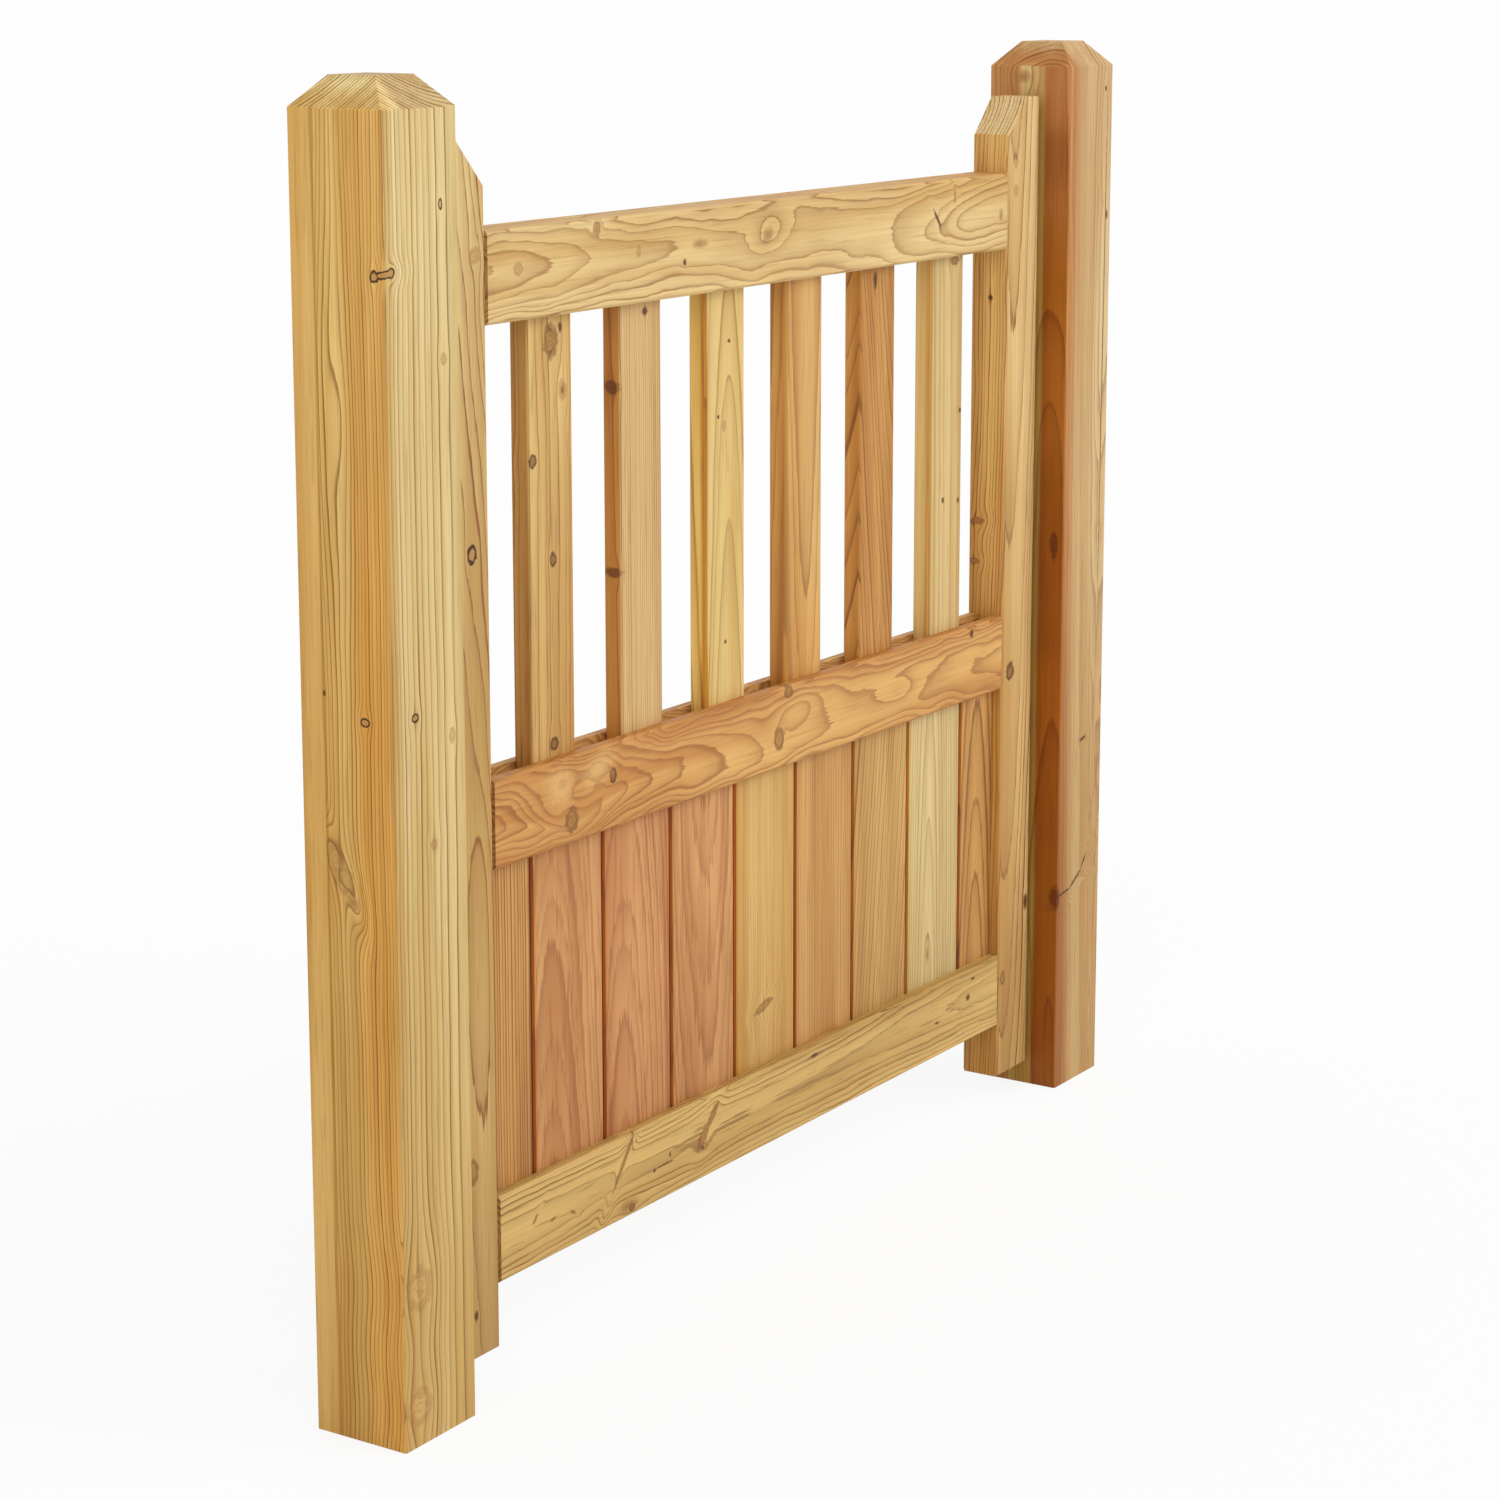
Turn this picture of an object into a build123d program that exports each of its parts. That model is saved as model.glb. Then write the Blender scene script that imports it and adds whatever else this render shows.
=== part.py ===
"""Garden gate of larch: a framed leaf hung between two posts with bevelled tops.

The leaf is a frame of two stiles and three rails with slats above and tongued boards below. It hangs on two
butt hinges at the left post and is held shut by a sliding bolt on its back. X runs along the gate, the front
faces -Y and Z is up. The origin lies on the ground in the middle between the posts.
"""
from build123d import *
import os

os.makedirs("parts", exist_ok=True)

# Posts
post_size = 100.0
post_above_leaf = 58.0
post_ease = 1.5
bevel_inset = 25.0
bevel_rise = 27.0

# Leaf
leaf_width = 1067.0
leaf_height = 1100.0
leaf_thickness = 45.0
leaf_setback = 31.0
ground_clearance = 30.0
hinge_gap = 10.0
closing_gap = 12.0
frame_ease = 2.5

# Stiles and rails
stile_width = 68.0
stile_slope_width = 37.0
stile_slope_drop = 40.0
rail_width = 82.0
top_horn = 80.0
bottom_horn = 61.0
middle_rail_lift = 450.0

# Through tenons with wedges
tenon_thickness = 15.0
tenon_shoulder = 1.0
tenon_fit = 0.1
wedge_thickness = 5.0
wedge_length = 50.0

# Grooves that hold the slats and boards
groove_depth = 15.0
groove_fit = 0.2
groove_room = 1.0

# Slats
slat_count = 6
slat_width = 68.0
slat_thickness = 20.0
slat_ease = 2.0

# Boards
full_board_count = 7
board_cover = 112.5
board_thickness = 20.0
board_gap = 2.5
board_vee = 2.0
tongue_thickness = 6.0
tongue_length = 8.0
tongue_fit = 0.3

# Butt hinges
hinge_height = 100.0
hinge_plate = 2.5
hinge_reach = 36.0
hinge_rail_space = 32.0
knuckle_count = 5
knuckle_gap = 0.4
knuckle_wall = 2.0
barrel_clearance = 0.5
pin_diameter = 5.0
pin_fit = 0.05
pin_head_diameter = 8.0
pin_head_height = 2.5
pin_head_ease = 0.8
hinge_screw_rows = 4
hinge_screw_pitch = 25.0
hinge_screw_stagger = 6.0

# Sliding bolt and its keep
bolt_diameter = 10.0
bolt_throw = 26.0
bolt_fit = 0.1
bolt_lift_off = 1.0
bolt_recess = 3.0
bolt_tail = 4.0
bolt_nose = 1.5
bolt_plate_height = 36.0
bolt_plate_thickness = 2.5
bolt_plate_margin = 22.0
bolt_plate_inset = 6.0
bolt_plate_corner = 4.0
guide_width = 14.0
guide_wall = 2.5
knob_diameter = 10.0
knob_neck = 6.0
knob_reach = 8.5
knob_height = 6.5
knob_ease = 1.5
knob_room = 0.5
keep_width = 26.0
keep_height = 60.0
keep_thickness = 2.5
keep_corner = 4.0
keep_fit = 0.75
socket_room = 5.0

# Screws with flat heads let into the plates
screw_shank = 4.0
screw_head = 7.8
screw_head_depth = 1.5
screw_length = 25.0
screw_sides = 8
screw_fit = 0.1
plate_screw_inset = 9.0
keep_screw_inset = 9.0

# Places that follow from the sizes
gate_width = 2 * post_size + hinge_gap + leaf_width + closing_gap
post_height = ground_clearance + leaf_height + post_above_leaf
left_post_face = post_size - gate_width / 2
right_post_face = gate_width / 2 - post_size
leaf_left = left_post_face + hinge_gap
leaf_right = leaf_left + leaf_width
inner_left = leaf_left + stile_width
inner_right = leaf_right - stile_width
inner_width = inner_right - inner_left
leaf_front = leaf_setback - post_size / 2
leaf_back = leaf_front + leaf_thickness
leaf_middle = (leaf_front + leaf_back) / 2
leaf_foot = ground_clearance
leaf_top = leaf_foot + leaf_height
bottom_rail_foot = leaf_foot + bottom_horn
middle_rail_foot = leaf_foot + middle_rail_lift
top_rail_foot = leaf_top - top_horn - rail_width
rail_feet = (bottom_rail_foot, middle_rail_foot, top_rail_foot)
tenon_height = rail_width - 2 * (groove_depth + tenon_shoulder)
knuckle_radius = pin_diameter / 2 + pin_fit + knuckle_wall
hinge_axis_x = left_post_face + knuckle_radius + barrel_clearance
hinge_axis_y = leaf_back + knuckle_radius + barrel_clearance
hinge_plate_start = hinge_axis_y - hinge_reach
hinge_plate_edge = hinge_axis_y - knuckle_radius - barrel_clearance
lower_hinge_middle = bottom_rail_foot + rail_width + hinge_rail_space + hinge_height / 2
upper_hinge_middle = top_rail_foot - hinge_rail_space - hinge_height / 2
hinge_middles = (lower_hinge_middle, upper_hinge_middle)
bolt_axis_y = leaf_back + bolt_plate_thickness + bolt_lift_off + bolt_diameter / 2
bolt_axis_z = middle_rail_foot + rail_width / 2
guide_radius = bolt_diameter / 2 + bolt_fit + guide_wall
guide_spacing = bolt_throw + knob_diameter + 2 * knob_room
bolt_plate_right = leaf_right - bolt_plate_inset
front_guide_left = bolt_plate_right - bolt_plate_margin - guide_width
rear_guide_right = front_guide_left - guide_spacing
rear_guide_left = rear_guide_right - guide_width
bolt_plate_left = rear_guide_left - bolt_plate_margin
bolt_nose_x = leaf_right - bolt_recess
bolt_tail_x = rear_guide_left - bolt_throw - bolt_tail
socket_depth = bolt_nose_x + bolt_throw - right_post_face + socket_room


def save(piece, name):
    """Label a finished piece and write it to its file."""
    piece.label = name
    export_step(piece, f"parts/{name}.step")


def screw_seats(points, outward):
    """Planes at the screw heads, each facing out of the wood."""
    return [Plane(origin=point, z_dir=outward) for point in points]


def hinge_screw_points(face_x):
    """Places of the screw heads on one side of both hinges, in two staggered columns."""
    column_y = (hinge_plate_start + hinge_plate_edge) / 2
    points = []
    for middle in hinge_middles:
        for row in range(hinge_screw_rows):
            side = hinge_screw_stagger if row % 2 else -hinge_screw_stagger
            step = (row - (hinge_screw_rows - 1) / 2) * hinge_screw_pitch
            points.append((face_x, column_y + side, middle + step))
    return points


# Screw seats: each plate's outer face, where the heads lie flush
post_hinge_seats = screw_seats(hinge_screw_points(left_post_face + hinge_plate), (1, 0, 0))
gate_hinge_seats = screw_seats(hinge_screw_points(leaf_left - hinge_plate), (-1, 0, 0))
plate_screw_rise = bolt_plate_height / 2 - plate_screw_inset
plate_screw_points = [
    (x, leaf_back + bolt_plate_thickness, bolt_axis_z + rise)
    for x in (bolt_plate_left + plate_screw_inset, bolt_plate_right - plate_screw_inset)
    for rise in (-plate_screw_rise, plate_screw_rise)
]
bolt_plate_seats = screw_seats(plate_screw_points, (0, 1, 0))
keep_screw_rise = keep_height / 2 - keep_screw_inset
keep_screw_points = [
    (right_post_face - keep_thickness, bolt_axis_y, bolt_axis_z + rise)
    for rise in (-keep_screw_rise, keep_screw_rise)
]
keep_seats = screw_seats(keep_screw_points, (-1, 0, 0))


def build_screw(room):
    """A plain screw, its flat head's top at the origin, or with room all round the space that it sits in."""
    with BuildPart() as screw:
        with BuildSketch(Plane.XY.offset(room)):
            RegularPolygon(screw_head / 2 + room, screw_sides)
        extrude(amount=-room - screw_head_depth)
        with BuildSketch(Plane.XY.offset(-screw_head_depth)):
            RegularPolygon(screw_shank / 2 + room, screw_sides)
        extrude(amount=screw_head_depth - screw_length - room)
    return screw.part


screw = build_screw(0)
screw_space = build_screw(screw_fit)


def build_post(centre_x):
    """A square post, bevelled on four sides at the top to a small flat."""
    half = post_size / 2
    shoulder = post_height - bevel_rise
    views = (
        (Plane((centre_x, half, 0), x_dir=(1, 0, 0), z_dir=(0, -1, 0)), Mode.ADD),
        (Plane((centre_x - half, 0, 0), x_dir=(0, 1, 0), z_dir=(1, 0, 0)), Mode.INTERSECT),
    )
    with BuildPart() as post:
        # The same outline seen from the front and from the side
        for view, mode in views:
            with BuildSketch(view):
                with BuildLine():
                    Polyline(
                        (-half, 0),
                        (half, 0),
                        (half, shoulder),
                        (half - bevel_inset, post_height),
                        (bevel_inset - half, post_height),
                        (-half, shoulder),
                        close=True,
                    )
                make_face()
            extrude(amount=post_size, mode=mode)
        chamfer(post.edges().filter_by(Axis.Z), post_ease)
    return post.part


with BuildPart() as left_post:
    add(build_post(left_post_face - post_size / 2))
    with Locations(*post_hinge_seats):
        add(screw_space, mode=Mode.SUBTRACT)
save(left_post.part, "left_post")

with BuildPart() as right_post:
    add(build_post(right_post_face + post_size / 2))
    with Locations(Plane(origin=(right_post_face, bolt_axis_y, bolt_axis_z), z_dir=(-1, 0, 0))):
        Hole(bolt_diameter / 2 + keep_fit, depth=socket_depth)
    with Locations(*keep_seats):
        add(screw_space, mode=Mode.SUBTRACT)
save(right_post.part, "right_post")


def build_stile(outer_x, inward):
    """An upright of the leaf, grooved for the boards and mortised right through for the three rails."""
    inner_x = outer_x + inward * stile_width
    slope_x = inner_x - inward * stile_slope_width
    groove_width = board_thickness + 2 * groove_fit
    with BuildPart() as stile:
        with BuildSketch(Plane.XZ.offset(-leaf_back)):
            with BuildLine():
                Polyline(
                    (outer_x, leaf_foot),
                    (inner_x, leaf_foot),
                    (inner_x, leaf_top - stile_slope_drop),
                    (slope_x, leaf_top),
                    (outer_x, leaf_top),
                    close=True,
                )
            make_face()
        extrude(amount=leaf_thickness)
        chamfer(stile.faces().filter_by(Axis.Y).edges(), frame_ease)
        # The boards' groove runs into the mortises above and below
        groove_foot = bottom_rail_foot + rail_width / 2
        groove_length = middle_rail_foot - bottom_rail_foot
        with BuildSketch(Plane.XY.offset(groove_foot)):
            with Locations((inner_x - inward * groove_depth / 2, leaf_middle)):
                Rectangle(groove_depth, groove_width)
        extrude(amount=groove_length, mode=Mode.SUBTRACT)
        # Each mortise widens toward the outer edge by the thickness of its wedges
        for foot in rail_feet:
            middle = foot + rail_width / 2
            half = tenon_height / 2
            wedge_x = outer_x + inward * wedge_length
            with BuildSketch(Plane.XZ.offset(-leaf_middle)):
                with BuildLine():
                    Polyline(
                        (inner_x, middle - half - tenon_fit),
                        (wedge_x, middle - half - tenon_fit),
                        (outer_x, middle - half - tenon_fit - wedge_thickness),
                        (outer_x, middle + half + tenon_fit + wedge_thickness),
                        (wedge_x, middle + half + tenon_fit),
                        (inner_x, middle + half + tenon_fit),
                        close=True,
                    )
                make_face()
            extrude(amount=tenon_thickness / 2 + tenon_fit, both=True, mode=Mode.SUBTRACT)
    return stile.part


with BuildPart() as left_stile:
    add(build_stile(leaf_left, 1))
    with Locations(*gate_hinge_seats):
        add(screw_space, mode=Mode.SUBTRACT)
save(left_stile.part, "left_stile")

with BuildPart() as right_stile:
    add(build_stile(leaf_right, -1))
    with Locations(*bolt_plate_seats):
        add(screw_space, mode=Mode.SUBTRACT)
save(right_stile.part, "right_stile")


def build_rail(foot, upper_groove, lower_groove):
    """A rail flush with the stiles, with eased shoulders, long grooves and a through tenon at each end."""
    middle = foot + rail_width / 2
    with BuildPart() as rail:
        with BuildSketch(Plane.YZ.offset(inner_left)):
            with Locations((leaf_middle, middle)):
                Rectangle(leaf_thickness, rail_width)
        extrude(amount=inner_width)
        chamfer(rail.faces().filter_by(Axis.Y).edges(), frame_ease)
        grooves = ((upper_groove, foot + rail_width - groove_depth / 2), (lower_groove, foot + groove_depth / 2))
        for thickness, height in grooves:
            if thickness:
                with BuildSketch(Plane.YZ.offset(inner_left)):
                    with Locations((leaf_middle, height)):
                        Rectangle(thickness + 2 * groove_fit, groove_depth)
                extrude(amount=inner_width, mode=Mode.SUBTRACT)
        for start in (leaf_left, inner_right):
            with BuildSketch(Plane.YZ.offset(start)):
                with Locations((leaf_middle, middle)):
                    Rectangle(tenon_thickness, tenon_height)
            extrude(amount=stile_width)
    return rail.part


save(build_rail(top_rail_foot, 0, slat_thickness), "top_rail")
save(build_rail(bottom_rail_foot, board_thickness, 0), "bottom_rail")

with BuildPart() as middle_rail:
    add(build_rail(middle_rail_foot, slat_thickness, board_thickness))
    with Locations(*bolt_plate_seats):
        add(screw_space, mode=Mode.SUBTRACT)
save(middle_rail.part, "middle_rail")


def build_wedges(outer_x, inward):
    """The wedges of one stile, above and below each tenon, driven flush with the stile's edge."""
    tip_x = outer_x + inward * wedge_length
    with BuildPart() as wedges:
        for foot in rail_feet:
            for side in (-1, 1):
                cheek = foot + rail_width / 2 + side * tenon_height / 2
                with BuildSketch(Plane.XZ.offset(-leaf_middle)):
                    with BuildLine():
                        Polyline(
                            (tip_x, cheek),
                            (outer_x, cheek),
                            (outer_x, cheek + side * wedge_thickness),
                            close=True,
                        )
                    make_face()
                extrude(amount=tenon_thickness / 2, both=True)
    return wedges.part


save(build_wedges(leaf_left, 1), "left_tenon_wedges")
save(build_wedges(leaf_right, -1), "right_tenon_wedges")

# Slats stand on the floor of the middle rail's groove, with equal spaces between them
slat_foot = middle_rail_foot + rail_width - groove_depth
slat_top = top_rail_foot + groove_depth - groove_room
slat_space = (inner_width - slat_count * slat_width) / (slat_count + 1)

for number in range(slat_count):
    slat_middle = inner_left + slat_space + slat_width / 2 + number * (slat_width + slat_space)
    with BuildPart() as slat:
        with BuildSketch(Plane((slat_middle, leaf_middle, slat_foot))) as section:
            Rectangle(slat_width, slat_thickness)
            chamfer(section.vertices(), slat_ease)
        extrude(amount=slat_top - slat_foot)
    save(slat.part, f"slat_{number + 1}")

# Boards stand on the floor of the bottom rail's groove, the outer two in the stiles' grooves as well
board_foot = bottom_rail_foot + rail_width - groove_depth
board_top = middle_rail_foot + groove_depth - groove_room
board_count = full_board_count + 2
narrow_cover = (inner_width - full_board_count * board_cover) / 2
board_joints = [inner_left + narrow_cover + number * board_cover for number in range(full_board_count + 1)]
tongue_slot = tongue_length + tongue_fit

for number in range(board_count):
    first = number == 0
    last = number == board_count - 1
    left_x = inner_left - groove_depth + groove_room if first else board_joints[number - 1] + board_gap / 2
    right_x = inner_right + groove_depth - groove_room if last else board_joints[number] - board_gap / 2
    with BuildPart() as board:
        with BuildSketch(Plane((0, leaf_middle, board_foot))) as section:
            with Locations(((left_x + right_x) / 2, 0)):
                Rectangle(right_x - left_x, board_thickness)
            chamfer(section.vertices(), board_vee)
            if not last:
                with Locations((right_x + tongue_length / 2, 0)):
                    Rectangle(tongue_length, tongue_thickness)
            if not first:
                with Locations((left_x + tongue_slot / 2 - board_gap / 2, 0)):
                    Rectangle(tongue_slot - board_gap, tongue_thickness + 2 * tongue_fit, mode=Mode.SUBTRACT)
        extrude(amount=board_top - board_foot)
    save(board.part, f"board_{number + 1}")


def build_hinge_leaf(middle, plate_x, seats, first_knuckle):
    """One leaf of a butt hinge: a drilled plate with every other knuckle of the barrel."""
    foot = middle - hinge_height / 2
    pitch = hinge_height / knuckle_count
    with BuildPart() as leaf:
        with BuildSketch(Plane.XY.offset(foot)):
            with Locations((plate_x, (hinge_plate_start + hinge_plate_edge) / 2)):
                Rectangle(hinge_plate, hinge_plate_edge - hinge_plate_start)
        extrude(amount=hinge_height)
        for number in range(first_knuckle, knuckle_count, 2):
            with BuildSketch(Plane.XY.offset(foot + number * pitch + knuckle_gap / 2)):
                with Locations((plate_x, (hinge_plate_edge + hinge_axis_y) / 2)):
                    Rectangle(hinge_plate, hinge_axis_y - hinge_plate_edge)
                with Locations((hinge_axis_x, hinge_axis_y)):
                    Circle(knuckle_radius)
            extrude(amount=pitch - knuckle_gap)
        with Locations((hinge_axis_x, hinge_axis_y, foot + hinge_height)):
            Hole(pin_diameter / 2 + pin_fit, depth=hinge_height)
        own_seats = [seat for seat in seats if abs(seat.origin.Z - middle) < hinge_height / 2]
        with Locations(*own_seats):
            add(screw_space, mode=Mode.SUBTRACT)
    return leaf.part


def build_hinge_pin(middle):
    """The pin of one hinge, with an eased head at each end of the barrel."""
    with BuildPart() as pin:
        with BuildSketch(Plane((hinge_axis_x, hinge_axis_y, middle))):
            Circle(pin_diameter / 2)
        extrude(amount=hinge_height / 2, both=True)
        for end in (-1, 1):
            with BuildSketch(Plane((hinge_axis_x, hinge_axis_y, middle + end * hinge_height / 2))):
                Circle(pin_head_diameter / 2)
            extrude(amount=end * pin_head_height)
        rims = pin.edges().filter_by(GeomType.CIRCLE).group_by(Axis.Z)
        chamfer(rims[0] + rims[-1], pin_head_ease)
    return pin.part


for place, middle in zip(("lower", "upper"), hinge_middles):
    post_plate_x = left_post_face + hinge_plate / 2
    gate_plate_x = leaf_left - hinge_plate / 2
    save(build_hinge_leaf(middle, post_plate_x, post_hinge_seats, 0), f"{place}_hinge_post_leaf")
    save(build_hinge_leaf(middle, gate_plate_x, gate_hinge_seats, 1), f"{place}_hinge_gate_leaf")
    save(build_hinge_pin(middle), f"{place}_hinge_pin")

screw_groups = (
    ("post_hinge_screws", post_hinge_seats),
    ("gate_hinge_screws", gate_hinge_seats),
    ("bolt_plate_screws", bolt_plate_seats),
    ("keep_screws", keep_seats),
)
for name, seats in screw_groups:
    with BuildPart() as screws:
        with Locations(*seats):
            add(screw)
    save(screws.part, name)

# Bolt plate on the back of the leaf, with two guides for the bolt
with BuildPart() as bolt_plate:
    with BuildSketch(Plane.XZ.offset(-leaf_back)) as outline:
        with Locations(((bolt_plate_left + bolt_plate_right) / 2, bolt_axis_z)):
            Rectangle(bolt_plate_right - bolt_plate_left, bolt_plate_height)
        chamfer(outline.vertices(), bolt_plate_corner)
    extrude(amount=-bolt_plate_thickness)
    for guide_left in (rear_guide_left, front_guide_left):
        guide_foot = leaf_back + bolt_plate_thickness
        with BuildSketch(Plane.YZ.offset(guide_left)):
            with Locations((bolt_axis_y, bolt_axis_z)):
                Circle(guide_radius)
            with Locations(((guide_foot + bolt_axis_y) / 2, bolt_axis_z)):
                Rectangle(bolt_axis_y - guide_foot, 2 * guide_radius)
            with Locations((bolt_axis_y, bolt_axis_z)):
                Circle(bolt_diameter / 2 + bolt_fit, mode=Mode.SUBTRACT)
        extrude(amount=guide_width)
    with Locations(*bolt_plate_seats):
        add(screw_space, mode=Mode.SUBTRACT)
save(bolt_plate.part, "bolt_plate")

# The bolt, drawn back, with its knob against the rear guide
knob_x = rear_guide_right + knob_room + knob_diameter / 2
with BuildPart() as sliding_bolt:
    with BuildSketch(Plane.YZ.offset(bolt_tail_x)):
        with Locations((bolt_axis_y, bolt_axis_z)):
            Circle(bolt_diameter / 2)
    extrude(amount=bolt_nose_x - bolt_tail_x)
    chamfer(sliding_bolt.edges().group_by(Axis.X)[-1], bolt_nose)
    with BuildSketch(Plane.XZ.offset(-bolt_axis_y)):
        with Locations((knob_x, bolt_axis_z)):
            Circle(knob_neck / 2)
    extrude(amount=-knob_reach)
    with BuildSketch(Plane.XZ.offset(-bolt_axis_y - knob_reach)):
        with Locations((knob_x, bolt_axis_z)):
            Circle(knob_diameter / 2)
    extrude(amount=-knob_height)
    chamfer(sliding_bolt.faces().sort_by(Axis.Y)[-1].edges(), knob_ease)
save(sliding_bolt.part, "sliding_bolt")

# Keep on the right post, drilled for the bolt
with BuildPart() as bolt_keep:
    with BuildSketch(Plane.YZ.offset(right_post_face - keep_thickness)) as outline:
        with Locations((bolt_axis_y, bolt_axis_z)):
            Rectangle(keep_width, keep_height)
        chamfer(outline.vertices(), keep_corner)
        with Locations((bolt_axis_y, bolt_axis_z)):
            Circle(bolt_diameter / 2 + keep_fit, mode=Mode.SUBTRACT)
    extrude(amount=keep_thickness)
    with Locations(*keep_seats):
        add(screw_space, mode=Mode.SUBTRACT)
save(bolt_keep.part, "bolt_keep")
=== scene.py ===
"""Larch garden gate between two posts: its timber, steel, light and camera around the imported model.

All lengths are in metres in the model's own frame: X runs along the gate to the right, the front faces -Y and
Z is up. Knots, stains and ring centres are written in millimetres, as a joiner would mark them on the timber.
"""
import logging
import math
from dataclasses import dataclass, replace
from enum import Enum
from typing import TypeAlias

import bmesh
import bpy
from mathutils import Matrix, Vector


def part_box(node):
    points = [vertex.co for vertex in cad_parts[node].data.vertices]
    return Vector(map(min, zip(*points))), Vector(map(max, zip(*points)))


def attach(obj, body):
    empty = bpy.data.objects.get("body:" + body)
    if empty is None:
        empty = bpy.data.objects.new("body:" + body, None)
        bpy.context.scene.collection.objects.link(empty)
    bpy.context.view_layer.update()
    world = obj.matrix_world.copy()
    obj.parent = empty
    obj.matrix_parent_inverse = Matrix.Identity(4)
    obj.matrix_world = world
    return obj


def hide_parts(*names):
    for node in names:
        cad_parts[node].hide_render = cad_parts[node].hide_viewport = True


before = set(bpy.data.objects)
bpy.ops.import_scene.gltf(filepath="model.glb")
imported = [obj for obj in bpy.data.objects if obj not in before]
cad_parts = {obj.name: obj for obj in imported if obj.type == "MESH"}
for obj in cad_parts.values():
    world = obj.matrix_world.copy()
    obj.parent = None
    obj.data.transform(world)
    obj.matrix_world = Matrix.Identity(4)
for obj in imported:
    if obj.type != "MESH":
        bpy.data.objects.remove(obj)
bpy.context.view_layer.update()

log = logging.getLogger("garden_gate")

MM = 0.001
IMAGE_SIDE = 1500.0
WHITE = (1.0, 1.0, 1.0, 1.0)
SEED_STEPS = (3.17, 5.31, 7.73)

Tone: TypeAlias = tuple[int, int, int]
Colour: TypeAlias = tuple[float, float, float, float]
Triple: TypeAlias = tuple[float, float, float]
Limit: TypeAlias = tuple[int, float, float]
Socket: TypeAlias = bpy.types.NodeSocket
Value: TypeAlias = "Signal | float"


def tone(red: int, green: int, blue: int) -> Colour:
    """A linear colour from an everyday tone.

    Args:
        red: Red from 0 to 255.
        green: Green from 0 to 255.
        blue: Blue from 0 to 255.

    Returns:
        The colour for a shader socket.
    """
    parts = []
    for step in (red, green, blue):
        share = step / 255.0
        parts.append(share / 12.92 if share <= 0.04045 else ((share + 0.055) / 1.055) ** 2.4)
    return (parts[0], parts[1], parts[2], 1.0)


class Signal:
    """A value that runs through a material's nodes, with arithmetic that adds Math nodes."""

    def __init__(self, sheet: "Sheet", socket: Socket) -> None:
        """Keep the sheet and the socket that the value comes from."""
        self.sheet = sheet
        self.socket = socket

    def __add__(self, other: Value) -> "Signal":
        """This value plus another."""
        return self.sheet.math("ADD", self, other)

    def __radd__(self, other: float) -> "Signal":
        """A number plus this value."""
        return self.sheet.math("ADD", other, self)

    def __sub__(self, other: Value) -> "Signal":
        """This value less another."""
        return self.sheet.math("SUBTRACT", self, other)

    def __rsub__(self, other: float) -> "Signal":
        """A number less this value."""
        return self.sheet.math("SUBTRACT", other, self)

    def __mul__(self, other: Value) -> "Signal":
        """This value times another."""
        return self.sheet.math("MULTIPLY", self, other)

    def __rmul__(self, other: float) -> "Signal":
        """A number times this value."""
        return self.sheet.math("MULTIPLY", other, self)

    def __truediv__(self, other: Value) -> "Signal":
        """This value divided by another."""
        return self.sheet.math("DIVIDE", self, other)

    def __rtruediv__(self, other: float) -> "Signal":
        """A number divided by this value."""
        return self.sheet.math("DIVIDE", other, self)

    def __pow__(self, other: Value) -> "Signal":
        """This value to a power."""
        return self.sheet.math("POWER", self, other)

    def __rpow__(self, other: float) -> "Signal":
        """A number to the power of this value."""
        return self.sheet.math("POWER", other, self)

    def fraction(self) -> "Signal":
        """What is left of the value above its whole number."""
        return self.sheet.math("FRACT", self)

    def whole(self) -> "Signal":
        """The whole number below the value."""
        return self.sheet.math("FLOOR", self)

    def decay(self, rate: float) -> "Signal":
        """A fall from 1 toward 0 as the value grows at a rate."""
        return self.sheet.math("EXPONENT", self * -rate)

    def least(self, other: Value) -> "Signal":
        """The smaller of two values."""
        return self.sheet.math("MINIMUM", self, other)

    def most(self, other: Value) -> "Signal":
        """The larger of two values."""
        return self.sheet.math("MAXIMUM", self, other)

    def smooth(self, start: Value, full: Value) -> "Signal":
        """A soft step over this value, 0 at the start and 1 at the full value, above or below it."""
        sockets = {0: self, 1: start, 2: full, 3: 0.0, 4: 1.0}
        return self.sheet.value("ShaderNodeMapRange", {"interpolation_type": "SMOOTHSTEP"}, sockets)


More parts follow.
